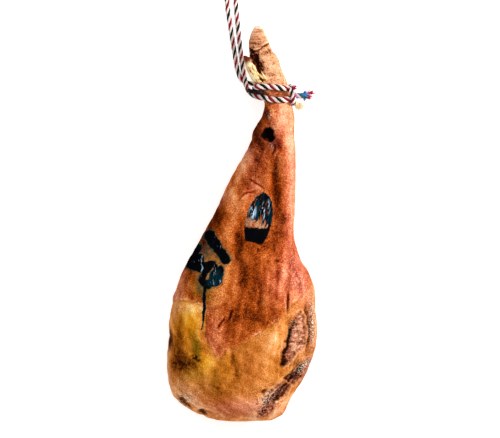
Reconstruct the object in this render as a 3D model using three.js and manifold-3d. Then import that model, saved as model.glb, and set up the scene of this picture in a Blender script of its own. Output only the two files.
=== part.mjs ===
// A whole dry-cured ham with its trotter, lying on its flat inner side, and the rope that it is hung by.
// Millimetres, +Z up. The origin is the middle of the flat patch that the ham lies on, and +Y runs
// along the leg to the trotter.
import * as THREE from "three";
import { mergeVertices } from "three/addons/utils/BufferGeometryUtils.js";
import Module from "manifold-3d";

const wasm = await Module();
wasm.setup();

// Cross-sections of the leg, from the butt to the pastern. y is the place along the leg, left and
// right are its outline seen from above, crest is where the section is highest, and top, rim and
// bottom are the heights of the crest, of the outline and of the underside.
const sections = [
  { y: -192, left: -94, right: 91, crest: 2, top: 96, rim: 53, bottom: 16 },
  { y: -164, left: -110, right: 82, crest: 0, top: 104, rim: 53, bottom: 3 },
  { y: -142, left: -128, right: 91, crest: -4, top: 110.5, rim: 54.5, bottom: -2.5 },
  { y: -99, left: -136, right: 117, crest: -7, top: 120, rim: 56, bottom: -5.5 },
  { y: -45, left: -136, right: 132, crest: -9, top: 127, rim: 57.5, bottom: -7 },
  { y: 18, left: -128, right: 130, crest: -9, top: 125.5, rim: 59, bottom: -7 },
  { y: 68, left: -113, right: 122, crest: -5, top: 117.5, rim: 57.5, bottom: -5 },
  { y: 99, left: -98, right: 104, crest: 2, top: 110.5, rim: 56, bottom: -1.5 },
  { y: 135, left: -77, right: 92, crest: 13, top: 101.5, rim: 53.5, bottom: 2.5 },
  { y: 198, left: -43, right: 92, crest: 31, top: 89.5, rim: 51, bottom: 9.5 },
  { y: 261, left: -13, right: 93, crest: 43, top: 81, rim: 50.5, bottom: 17 },
  { y: 310, left: 15, right: 92, crest: 52, top: 77, rim: 50.5, bottom: 22.5 },
  { y: 335, left: 22, right: 91, crest: 57, top: 75, rim: 51, bottom: 25 },
  { y: 356, left: 35, right: 91, crest: 62, top: 73, rim: 51, bottom: 29 },
  { y: 382, left: 40, right: 87, crest: 63, top: 70.5, rim: 51, bottom: 31 },
  { y: 401, left: 34, right: 83, crest: 59, top: 70.5, rim: 51, bottom: 32 },
  { y: 418, left: 22, right: 78, crest: 52, top: 72, rim: 52, bottom: 31 },
  { y: 443, left: 22, right: 69, crest: 47, top: 73.5, rim: 52, bottom: 29.5 },
  { y: 477, left: 16, right: 56, crest: 36, top: 70.5, rim: 52, bottom: 33.5 },
];
const leg = {
  butt: -192, // where the leg ends at the hip
  pastern: 477, // where its own flesh ends inside the claws
  buttRound: 45, // how far the butt takes to round off
  pasternRound: 14,
  buttMiddle: 7, // x of the middle of the rounded butt
  topFullness: 2.25, // exponents of the sections, where 2 is an ellipse
  undersideFullness: 2.7,
  capFullness: 2.6,
  rowStep: 7.8,
  capRows: 8,
  topColumns: 28,
  undersideColumns: 20,
};

// Furrows, hollows and ridges that run over the leg. turn is in degrees from the leg's length to
// the right, a negative depth stands up, and side says which face shows it.
const relief = [
  { what: "groove behind the shin", x: 59, y: 236, length: 99, width: 18, turn: -3, depth: 5, side: 1 },
  { what: "shin ridge", x: 79, y: 225, length: 189, width: 20, turn: 0, depth: -2.5, side: 1 },
  { what: "groove down the thigh", x: -9, y: 97, length: 99, width: 23, turn: 2, depth: 6, side: 1 },
  { what: "second thigh groove", x: 27, y: 36, length: 108, width: 31, turn: 6, depth: 3.5, side: 1 },
  { what: "swell of the calf", x: -13, y: 171, length: 117, width: 40, turn: 27, depth: -2.5, side: 1 },
  { what: "hollow beside the knee", x: 67, y: 76, length: 81, width: 22, turn: -6, depth: 4, side: 1 },
  { what: "knee fold", x: 94, y: 59, length: 63, width: 16, turn: -14, depth: 3.5, side: 1 },
  { what: "dip below the marks", x: -76, y: 31, length: 27, width: 63, turn: 8, depth: 4, side: 1 },
  { what: "swell of the fat", x: -97, y: -22, length: 81, width: 49, turn: 0, depth: -3.5, side: 1 },
  { what: "pocket by the stifle", x: 83, y: -47, length: 90, width: 18, turn: 10, depth: 7, side: 1 },
  { what: "lower pocket", x: 97, y: -101, length: 59, width: 16, turn: 52, depth: 6, side: 1 },
  { what: "hip pocket", x: 58, y: -149, length: 72, width: 18, turn: 46, depth: 7.5, side: 1 },
  { what: "torn rim at the left", x: -130, y: -47, length: 31, width: 16, turn: 0, depth: 5, side: 1 },
  { what: "rough hollow", x: -106, y: -88, length: 32, width: 23, turn: -50, depth: 4, side: 1 },
  { what: "crack at the corner", x: -101, y: -158, length: 45, width: 13, turn: -46, depth: 5, side: 1 },
  { what: "pit in the butt", x: -70, y: -176, length: 18, width: 16, turn: 0, depth: 5, side: 1 },
  { what: "hock tendon", x: 31, y: 335, length: 41, width: 13, turn: 30, depth: -2.5, side: 1 },
  { what: "inner furrow", x: 27, y: 153, length: 144, width: 31, turn: -6, depth: 5, side: -1 },
  { what: "inner thigh furrow", x: -86, y: 54, length: 117, width: 27, turn: 20, depth: 4, side: -1 },
  { what: "inner shank furrow", x: 56, y: 288, length: 117, width: 18, turn: 0, depth: 3.5, side: -1 },
];
const unevenness = { size: 1, alongEvery: 43, acrossEvery: 34, slant: 0.4 };
const hockPit = { x: 46, y: 324, width: 20, length: 21, depth: 12 };

// The trotter: two claws side by side, and two small dewclaws behind them. Each pair of heights is
// for the one on the shown side and the one under it. A horn's middle bends to the right by bend.
const claw = {
  rootX: 44,
  rootY: 440,
  tipX: 27,
  tipY: 521,
  bend: -5,
  halfWidth: 23.5,
  halfDepth: 12.5,
  fullness: 0.62,
  rootHeights: [60, 42],
  tipHeights: [59, 46],
};
const dewclaw = {
  rootX: 32,
  rootY: 420,
  tipX: 3,
  tipY: 467,
  bend: 1,
  halfWidth: 14,
  halfDepth: 10,
  fullness: 0.6,
  rootHeights: [60, 44],
  tipHeights: [64, 40],
};

// The rope. Where it is wound on the leg its strands open out, so it is thicker there.
const rope = {
  turnDiameter: 10.6,
  knotDiameter: 9.5,
  loopDiameter: 8.6,
  gap: 1.1, // between the wound rope and the skin
  endGap: 1.7, // between the loop's ends and the wound rope
  sides: 10,
  step: 9,
};
const hornMesh = { rows: 9, sides: 16, crowding: 1.6 }; // crowding brings the rows together at the tip

// A value of the sections at y, on a smooth curve through them.
function along(key, y) {
  const last = sections.length - 1;
  const slope = (i) => {
    const a = sections[Math.max(i - 1, 0)];
    const b = sections[Math.min(i + 1, last)];
    return (b[key] - a[key]) / (b.y - a.y);
  };
  const place = THREE.MathUtils.clamp(y, sections[0].y, sections[last].y);
  const found = sections.findIndex((s, k) => k > 0 && place <= s.y);
  const i = Math.max(found, 1) - 1;
  const span = sections[i + 1].y - sections[i].y;
  const t = (place - sections[i].y) / span;
  const t2 = t * t;
  const t3 = t2 * t;
  return (
    (2 * t3 - 3 * t2 + 1) * sections[i][key] +
    (t3 - 2 * t2 + t) * span * slope(i) +
    (3 * t2 - 2 * t3) * sections[i + 1][key] +
    (t3 - t2) * span * slope(i + 1)
  );
}

const power = (value, exponent) => Math.sign(value) * Math.abs(value) ** exponent;

// How wide the rounded end still is, from 0 at its pole to 1 where the rounding starts.
function roundedOff(distance, reach) {
  const left = Math.max(1 - distance / reach, 0);
  return (1 - left ** leg.capFullness) ** (1 / leg.capFullness);
}

// A point of the leg's skin. The angle runs from the right edge over the top to the left edge.
function skinPoint(y, angle) {
  const c = Math.cos(angle);
  const s = Math.sin(angle);
  const fullness = s >= 0 ? leg.topFullness : leg.undersideFullness;
  const crest = along("crest", y);
  const rim = along("rim", y);
  const halfWidth = c >= 0 ? along("right", y) - crest : crest - along("left", y);
  const halfHeight = s >= 0 ? along("top", y) - rim : rim - along("bottom", y);
  const x = crest + halfWidth * power(c, 2 / fullness);
  const z = rim + halfHeight * power(s, 2 / fullness);
  const atButt = roundedOff(y - leg.butt, leg.buttRound);
  const atPastern = roundedOff(leg.pastern - y, leg.pasternRound);
  const keep = atButt * atPastern;
  const middle = atButt < 1 ? leg.buttMiddle : crest;
  return new THREE.Vector3(middle + (x - middle) * keep, y, rim + (z - rim) * keep);
}

function skinNormal(y, angle) {
  const small = 0.5;
  const turn = 0.01;
  const lengthways = skinPoint(y + small, angle).sub(skinPoint(y - small, angle));
  const around = skinPoint(y, angle + turn).sub(skinPoint(y, angle - turn));
  return lengthways.cross(around).normalize();
}

// How deep the furrows press the skin in at a point, on the side that its normal faces.
function pressed(point, normal) {
  let depth = 0;
  for (const f of relief) {
    const turn = THREE.MathUtils.degToRad(f.turn);
    const dx = point.x - f.x;
    const dy = point.y - f.y;
    const lengthways = (dx * Math.sin(turn) + dy * Math.cos(turn)) / (f.length / 2);
    const across = (dx * Math.cos(turn) - dy * Math.sin(turn)) / (f.width / 2);
    const facing = THREE.MathUtils.smoothstep(normal.z * f.side, -0.25, 0.25);
    depth += f.depth * facing * Math.exp(-(lengthways ** 4) - across ** 2);
  }
  const wave = (value, every) => Math.sin((2 * Math.PI * value) / every);
  const lumps =
    wave(point.y + unevenness.slant * point.z, unevenness.alongEvery) *
    wave(point.x + point.z + unevenness.slant * point.y, unevenness.acrossEvery);
  return depth + unevenness.size * lumps;
}

// The places along the leg where it has a ring of points, closer together at its round ends.
function rowPlaces() {
  const { butt, pastern, buttRound, pasternRound, capRows, rowStep } = leg;
  const rows = [];
  for (let i = 1; i <= capRows; i += 1) {
    rows.push(butt + buttRound * (1 - Math.cos((i / capRows) * (Math.PI / 2))));
  }
  const from = butt + buttRound;
  const to = pastern - pasternRound;
  const count = Math.round((to - from) / rowStep);
  for (let i = 1; i <= count; i += 1) {
    rows.push(from + ((to - from) * i) / count);
  }
  rows.push(pastern - pasternRound / 2, pastern - pasternRound / 8);
  return rows;
}

function columnAngles() {
  const angles = [];
  for (let i = 0; i < leg.topColumns; i += 1) {
    angles.push((Math.PI * i) / leg.topColumns);
  }
  for (let i = 0; i < leg.undersideColumns; i += 1) {
    angles.push(Math.PI + (Math.PI * i) / leg.undersideColumns);
  }
  return angles;
}

// A closed skin over rings of equally many points, with a pole at each end.
function skinOver(rings, startPole, endPole) {
  const columns = rings[0].length;
  const points = [startPole, ...rings.flat(), endPole];
  const at = (row, column) => 1 + row * columns + (column % columns);
  const faces = [];
  for (let j = 0; j < columns; j += 1) {
    faces.push(0, at(0, j), at(0, j + 1));
    for (let i = 0; i < rings.length - 1; i += 1) {
      faces.push(at(i, j), at(i + 1, j), at(i + 1, j + 1));
      faces.push(at(i, j), at(i + 1, j + 1), at(i, j + 1));
    }
    faces.push(points.length - 1, at(rings.length - 1, j + 1), at(rings.length - 1, j));
  }
  const positions = new Float32Array(points.flatMap((p) => p.toArray()));
  const geometry = new THREE.BufferGeometry();
  geometry.setAttribute("position", new THREE.BufferAttribute(positions, 3));
  geometry.setIndex(faces);
  return geometry;
}

function legGeometry() {
  const rings = rowPlaces().map((y) =>
    columnAngles().map((angle) => {
      const point = skinPoint(y, angle);
      const normal = skinNormal(y, angle);
      point.addScaledVector(normal, -pressed(point, normal));
      point.z = Math.max(point.z, 0); // the flat patch that the ham lies on
      return point;
    }),
  );
  const buttPole = new THREE.Vector3(leg.buttMiddle, leg.butt, along("rim", leg.butt));
  const pasternPole = new THREE.Vector3(along("crest", leg.pastern), leg.pastern, along("rim", leg.pastern));
  return skinOver(rings, buttPole, pasternPole);
}

// A claw or a dewclaw: a blunt cone with an oval section. Number 0 is the one on the shown side.
function hornGeometry(horn, number) {
  const { rows, sides, crowding } = hornMesh;
  const root = new THREE.Vector3(horn.rootX, horn.rootY, horn.rootHeights[number]);
  const tip = new THREE.Vector3(horn.tipX, horn.tipY, horn.tipHeights[number]);
  const rings = [];
  for (let i = 0; i < rows; i += 1) {
    const t = 1 - (1 - i / rows) ** crowding;
    const reach = (1 - t * t) ** horn.fullness;
    const middle = new THREE.Vector3().lerpVectors(root, tip, t);
    middle.x += horn.bend * 4 * t * (1 - t);
    const ring = [];
    for (let j = 0; j < sides; j += 1) {
      const angle = (2 * Math.PI * j) / sides;
      const x = middle.x + horn.halfWidth * reach * Math.cos(angle);
      ring.push(new THREE.Vector3(x, middle.y, middle.z + horn.halfDepth * reach * Math.sin(angle)));
    }
    rings.push(ring);
  }
  return skinOver(rings, root, tip);
}

function toSolid(geometry) {
  const bare = geometry.index ? geometry.clone() : geometry;
  bare.deleteAttribute("normal");
  bare.deleteAttribute("uv");
  const merged = mergeVertices(bare, 1e-4);
  const mesh = new wasm.Mesh({
    numProp: 3,
    vertProperties: merged.attributes.position.array,
    triVerts: new Uint32Array(merged.index.array),
  });
  return new wasm.Manifold(mesh);
}

function toGeometry(solid) {
  const { numProp, numVert, vertProperties, triVerts } = solid.getMesh();
  const positions = new Float32Array(numVert * 3);
  for (let i = 0; i < numVert; i += 1) {
    positions.set(vertProperties.subarray(i * numProp, i * numProp + 3), i * 3);
  }
  const geometry = new THREE.BufferGeometry();
  geometry.setAttribute("position", new THREE.BufferAttribute(positions, 3));
  geometry.setIndex(new THREE.BufferAttribute(triVerts, 1));
  geometry.computeVertexNormals();
  return geometry;
}

function hamSolid() {
  let ham = toSolid(legGeometry());
  for (const horn of [claw, dewclaw]) {
    for (const number of [0, 1]) {
      ham = ham.add(toSolid(hornGeometry(horn, number)));
    }
  }
  const pit = new THREE.SphereGeometry(1, 12, 8).scale(hockPit.width / 2, hockPit.length / 2, hockPit.depth);
  pit.translate(hockPit.x, hockPit.y, along("top", hockPit.y));
  return ham.subtract(toSolid(pit));
}

// A round rope along a smooth curve through points.
function ropeSolid(points, diameter) {
  const curve = new THREE.CatmullRomCurve3(points, false, "centripetal");
  const section = new THREE.Shape();
  for (let i = 0; i < rope.sides; i += 1) {
    const angle = (2 * Math.PI * i) / rope.sides;
    const [x, y] = [Math.cos(angle), Math.sin(angle)].map((v) => (v * diameter) / 2);
    if (i === 0) section.moveTo(x, y);
    else section.lineTo(x, y);
  }
  const steps = Math.max(3, Math.round(curve.getLength() / rope.step));
  return toSolid(new THREE.ExtrudeGeometry(section, { steps, extrudePath: curve }));
}

// The rope's centre where it lies on the leg at y, with its angle round the leg in degrees.
function onLeg([degrees, y]) {
  const angle = THREE.MathUtils.degToRad(degrees);
  const point = skinPoint(y, angle);
  const normal = skinNormal(y, angle);
  const depth = Math.min(pressed(point, normal), 0);
  return point.addScaledVector(normal, rope.turnDiameter / 2 + rope.gap - depth);
}

// The upper turn comes from under the leg, goes up at the right, over the top, down round the root
// of the dewclaws and back under the leg. Each place is an angle round the leg and a y.
const upperTurn = [
  [262, 417],
  [285, 415],
  [320, 411.5],
  [355, 407.5],
  [390, 406],
  [420, 407],
  [450, 409.5],
  [480, 412],
  [505, 413],
  [525, 412.5],
  [545, 410.5],
  [565, 407],
  [590, 402],
  [620, 398],
  [650, 394.5],
  [680, 391.5],
  [705, 390],
  [722, 389.5],
];
// The lower pass goes from the knot over the top, and leaves the leg at its left shoulder.
const lowerPass = [
  [18, 389.5],
  [40, 388],
  [65, 386.5],
  [90, 386.5],
  [112, 387.5],
  [126, 389],
];
// The knot's own strand goes across both turns at the right, and its two tails point outwards.
const knotStrand = [
  [46, 420, 1],
  [46, 416.5, 6],
  [45, 408, 9.2],
  [44, 400, 9],
  [43, 391, 9.2],
  [42, 382, 7],
  [41, 376.5, 2],
];
const tailWithBlueYarn = [
  [88, 397, 71],
  [99, 394, 67],
  [110, 394.5, 62],
  [121, 397.5, 57],
];
const paleTail = [
  [87, 388, 71],
  [94, 381.5, 66],
  [100, 376.5, 61],
  [105, 372, 56],
];
// The free loop, from the leg's left shoulder down to the surface, along it, and back under the leg.
const looseLoop = [
  [38, 390, 69.8],
  [27, 392, 64],
  [16.5, 397, 54.5],
  [9.5, 405, 42],
  [5.5, 415, 28.5],
  [3, 427.5, 16],
  [0.5, 441, 8.5],
  [-2, 456, 5],
  [-4, 474, 4.6],
  [-6, 491, 4.6],
  [-8, 510, 4.6],
  [-10, 530, 4.6],
  [-12, 551, 4.6],
  [-13, 570, 4.6],
  [-10, 587, 4.6],
  [-4, 602, 4.6],
  [-1, 617, 4.6],
  [-5, 633, 4.6],
  [-20, 643, 4.6],
  [-36, 633, 4.6],
  [-41, 617, 4.6],
  [-38, 602, 4.6],
  [-32, 587, 4.6],
  [-29, 570, 4.6],
  [-27.5, 551, 4.6],
  [-24, 530, 4.6],
  [-21, 510, 4.6],
  [-18, 491, 4.6],
  [-15, 472, 4.6],
  [-12, 453, 4.6],
  [-8.5, 438, 5.6],
  [-3, 426.5, 9.5],
  [6, 420.5, 14],
  [18, 418, 18],
  [32, 418, 21],
];

function places(list) {
  return list.map((p) => new THREE.Vector3(...p));
}

function woundRopeSolid() {
  const thick = rope.turnDiameter;
  const strand = knotStrand.map(([degrees, y, lift]) => {
    const angle = THREE.MathUtils.degToRad(degrees);
    return onLeg([degrees, y]).addScaledVector(skinNormal(y, angle), lift);
  });
  const pieces = [
    ropeSolid(upperTurn.map(onLeg), thick),
    ropeSolid(lowerPass.map(onLeg), thick),
    ropeSolid(strand, rope.knotDiameter),
    ropeSolid(places(tailWithBlueYarn), thick),
    ropeSolid(places(paleTail), thick),
  ];
  return pieces.reduce((all, piece) => all.add(piece));
}

// The loop starts and ends a little off the wound rope's cut ends.
function looseLoopSolid() {
  const leave = (before, last) => {
    const onwards = new THREE.Vector3().subVectors(last, before).normalize();
    return last.clone().addScaledVector(onwards, rope.endGap);
  };
  const start = leave(onLeg(lowerPass.at(-2)), onLeg(lowerPass.at(-1)));
  const end = leave(onLeg(upperTurn[1]), onLeg(upperTurn[0]));
  return ropeSolid([start, ...places(looseLoop), end], rope.loopDiameter);
}

function addMesh(group, name, solid, color, roughness) {
  const material = new THREE.MeshStandardMaterial({ color, roughness, metalness: 0 });
  const mesh = new THREE.Mesh(toGeometry(solid), material);
  mesh.name = name;
  group.add(mesh);
}

const curedHam = new THREE.Group();
addMesh(curedHam, "ham", hamSolid(), 0xb5662f, 0.5);
addMesh(curedHam, "rope_turns", woundRopeSolid(), 0xd8cfc4, 0.9);
addMesh(curedHam, "rope_loop", looseLoopSolid(), 0xd8cfc4, 0.9);

export default curedHam;
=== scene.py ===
import bpy
import bmesh
import math
import numpy as np
from mathutils import Matrix, Vector
from mathutils.bvhtree import BVHTree


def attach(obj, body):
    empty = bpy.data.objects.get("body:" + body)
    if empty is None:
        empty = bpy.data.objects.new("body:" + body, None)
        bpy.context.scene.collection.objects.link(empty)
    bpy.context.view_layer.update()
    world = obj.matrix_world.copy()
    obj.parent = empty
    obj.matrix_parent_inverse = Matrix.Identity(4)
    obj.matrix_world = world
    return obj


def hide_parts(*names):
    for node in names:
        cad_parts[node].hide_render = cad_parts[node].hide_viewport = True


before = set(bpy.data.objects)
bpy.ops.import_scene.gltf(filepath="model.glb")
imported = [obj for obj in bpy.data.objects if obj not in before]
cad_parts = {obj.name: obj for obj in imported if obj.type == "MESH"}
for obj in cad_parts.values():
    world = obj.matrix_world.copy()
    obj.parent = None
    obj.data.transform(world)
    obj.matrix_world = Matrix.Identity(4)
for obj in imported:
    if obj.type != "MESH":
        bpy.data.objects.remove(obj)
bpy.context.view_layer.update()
scene = bpy.context.scene

# Lengths in the dictionaries are in millimetres, and the finished meshes are in metres.
mm = 0.001


def srgb(red, green, blue, alpha=1.0):  # a colour as a paint program shows it, 0 to 255
    def linear(value):
        value /= 255
        return value / 12.92 if value <= 0.04045 else ((value + 0.055) / 1.055) ** 2.4

    return (linear(red), linear(green), linear(blue), alpha)


def newObject(name, data):
    made = bpy.data.objects.new(name, data)
    scene.collection.objects.link(made)
    return made


def setInputs(tree, node, inputs):  # links a socket, and sets anything else as a constant
    for key, value in inputs.items():
        if isinstance(value, bpy.types.NodeSocket):
            tree.links.new(value, node.inputs[key])
        else:
            node.inputs[key].default_value = value


def addNode(tree, kind, inputs=None, **settings):
    made = tree.nodes.new(kind)
    for key, value in settings.items():
        setattr(made, key, value)
    setInputs(tree, made, inputs or {})
    return made


def newPaint(name):
    paint = bpy.data.materials.new(name)
    paint.use_nodes = True
    return paint, paint.node_tree, paint.node_tree.nodes["Principled BSDF"]


# Camera, light and floor

view = {
    "middle": (12.6, 172.8),  # what the middle of the picture looks at
    "pictureWidth": 900,
    "distance": 5000,
    "outlineHeight": 55,  # the height at which the picture is 900 mm wide
    "sensor": 36,
    "farthest": 60,  # metres
}

cameraData = bpy.data.cameras.new("camera")
cameraData.sensor_width = view["sensor"]
cameraData.lens = view["sensor"] * view["distance"] / view["pictureWidth"]
cameraData.clip_end = view["farthest"]
camera = newObject("camera", cameraData)
camera.location = (
    view["middle"][0] * mm,
    view["middle"][1] * mm,
    (view["distance"] + view["outlineHeight"]) * mm,
)
scene.camera = camera
scene.view_settings.view_transform = "Standard"

# lamps, with places and sizes in metres
studio = {
    "key": {"place": (2.0, 0.9, 1.7), "size": 1.0, "watts": 70, "colour": (1.0, 0.97, 0.94)},
    "top": {"place": (0.1, 0.9, 2.6), "size": 1.6, "watts": 14, "colour": (1.0, 1.0, 1.0)},
    "fill": {"place": (-0.7, -2.4, 1.3), "size": 1.6, "watts": 14, "colour": (0.96, 0.98, 1.0)},
}
lampsAim = (0.02, 0.1, 0.05)
skyStrength = 0.45

for name, light in studio.items():
    lamp = bpy.data.lights.new(name, "AREA")
    lamp.shape = "DISK"
    lamp.size = light["size"]
    lamp.energy = light["watts"]
    lamp.color = light["colour"]
    holder = newObject(name, lamp)
    holder.location = light["place"]
    aim = Vector(lampsAim) - holder.location
    holder.rotation_euler = aim.to_track_quat("-Z", "Y").to_euler()
    holder.visible_camera = False

world = bpy.data.worlds.new("room")
world.use_nodes = True
world.node_tree.nodes["Background"].inputs["Color"].default_value = (1.0, 1.0, 1.0, 1.0)
world.node_tree.nodes["Background"].inputs["Strength"].default_value = skyStrength
scene.world = world

floorForm = {
    "reach": 9,  # metres to each side
    "drop": 0.0002,  # metres under the ham
    "grey": 0.62,
    "roughness": 0.9,
    "glow": 0.7,  # a backdrop that is lit from behind
}


def makeFloor():
    far, grey = floorForm["reach"], floorForm["grey"]
    mesh = bpy.data.meshes.new("floor")
    corners = [(-far, -far, 0), (far, -far, 0), (far, far, 0), (-far, far, 0)]
    mesh.from_pydata(corners, [], [(0, 1, 2, 3)])
    paint, tree, shader = newPaint("floorPaint")
    setInputs(tree, shader, {
        "Base Color": (grey, grey, grey, 1),
        "Roughness": floorForm["roughness"],
        "Specular IOR Level": 0.0,
        "Emission Color": (1.0, 1.0, 1.0, 1),
        "Emission Strength": floorForm["glow"],
    })
    mesh.materials.append(paint)
    made = newObject("floor", mesh)
    made.location.z = -floorForm["drop"]
    return made


floor = makeFloor()
print("camera, light and floor are set")


# Small tools for shapes that are worked out point by point

def smoothStep(low, high, value):
    t = np.clip((value - low) / (high - low), 0, 1)
    return t * t * (3 - 2 * t)


noiseForm = {
    "tableSize": 4096,  # a power of two
    "mixers": (73856093, 19349663, 83492791),  # large primes, which spread the corners over the table
    "finer": 2.03,  # how much finer each layer is than the one before
    "weaker": 1.9,
}


def latticeNoise(points, size, seed):  # from -1 to 1, smooth, one swell each size
    table = np.random.default_rng(seed).uniform(-1, 1, noiseForm["tableSize"])
    place = points / size
    corner = np.floor(place).astype(np.int64)
    part = place - corner
    part = part * part * (3 - 2 * part)
    total = np.zeros(len(points))
    for step in np.ndindex(2, 2, 2):
        cell = (corner + step) * noiseForm["mixers"]
        pick = (cell[:, 0] ^ cell[:, 1] ^ cell[:, 2]) & (len(table) - 1)
        total += table[pick] * np.prod(np.where(step, part, 1 - part), axis=1)
    return total


layerTurn = np.array(Matrix.Rotation(0.9, 3, Vector((1, 2, 3)).normalized()))


def layeredNoise(points, size, seed, layers=3):  # each layer is turned, so that no grid shows
    total = np.zeros(len(points))
    for layer in range(layers):
        points = points @ layerTurn
        finer = latticeNoise(points, size / noiseForm["finer"] ** layer, seed + layer)
        total += finer / noiseForm["weaker"] ** layer
    return total


def alongRun(points):  # how far along a line each of its points is
    return np.concatenate([[0], np.cumsum(np.linalg.norm(np.diff(points, axis=0), axis=1))])


def fromLine(points, line):  # distance to a bent line, and how far along it the nearest place is
    line = np.asarray(line, float)
    starts = alongRun(line)
    lengths = np.diff(starts)
    best = np.full(len(points), 1e9)
    place = np.zeros(len(points))
    for i, length in enumerate(lengths):
        side = line[i + 1] - line[i]
        t = np.clip((points - line[i]) @ side / length**2, 0, 1)
        distance = np.linalg.norm(points - line[i] - t[:, None] * side, axis=1)
        nearer = distance < best
        best[nearer] = distance[nearer]
        place[nearer] = (starts[i] + t[nearer] * length) / starts[-1]
    return best, place


def insideOutline(points, outline):
    outline = np.asarray(outline, float)
    inside = np.zeros(len(points), bool)
    for (ax, ay), (bx, by) in zip(outline, np.roll(outline, -1, axis=0)):
        if ay != by:
            crosses = (points[:, 1] < ay) != (points[:, 1] < by)
            inside ^= crosses & (points[:, 0] < ax + (points[:, 1] - ay) * (bx - ax) / (by - ay))
    return inside


def depthInOutline(points, outline):  # how far inside an outline a place is, less than 0 outside
    distance, _ = fromLine(points, list(outline) + [outline[0]])
    return np.where(insideOutline(points, outline), distance, -distance)


def brushed(plan, dabs):  # soft oval dabs, each (x, y, half length, half width, turn, strength)
    clear = np.ones(len(plan))
    for x, y, halfLength, halfWidth, turn, strength in dabs:
        a = math.radians(turn)
        dx, dy = plan[:, 0] - x, plan[:, 1] - y
        along = (dx * math.sin(a) + dy * math.cos(a)) / halfLength
        across = (dx * math.cos(a) - dy * math.sin(a)) / halfWidth
        clear *= 1 - strength * np.exp(-(along**2) - across**2)
    return 1 - clear


def dabDepth(plan, dabs):  # the same kind of dabs, with a depth in place of the strength
    return sum(dab[5] * brushed(plan, [dab[:5] + (1.0,)]) for dab in dabs)


def readPoints(mesh):
    points = np.empty(len(mesh.vertices) * 3)
    mesh.vertices.foreach_get("co", points)
    return points.reshape(-1, 3) / mm


def writePoints(mesh, points):
    mesh.vertices.foreach_set("co", (points * mm).ravel())
    mesh.update()


def readNormals(mesh):
    normals = np.empty(len(mesh.vertices) * 3)
    mesh.vertex_normals.foreach_get("vector", normals)
    return normals.reshape(-1, 3)


def storeMask(mesh, name, values):
    mesh.attributes.new(name, "FLOAT", "POINT").data.foreach_set("value", values.astype(np.float32))


def storeVectors(mesh, name, values):
    made = mesh.attributes.new(name, "FLOAT_VECTOR", "POINT")
    made.data.foreach_set("vector", values.astype(np.float32).ravel())


def relaxed(mesh, points, pulls):  # draws each point towards its neighbours, once for each pull
    edges = np.empty(len(mesh.edges) * 2, np.int64)
    mesh.edges.foreach_get("vertices", edges)
    a, b = edges.reshape(-1, 2).T
    count = np.bincount(a, minlength=len(points)) + np.bincount(b, minlength=len(points))
    for pull in pulls:
        mean = np.empty_like(points)
        for axis in range(3):
            column = points[:, axis]
            sums = np.bincount(a, column[b], len(points)) + np.bincount(b, column[a], len(points))
            mean[:, axis] = sums / count
        points = points + pull * (mean - points)
    return points


# The ham

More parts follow.
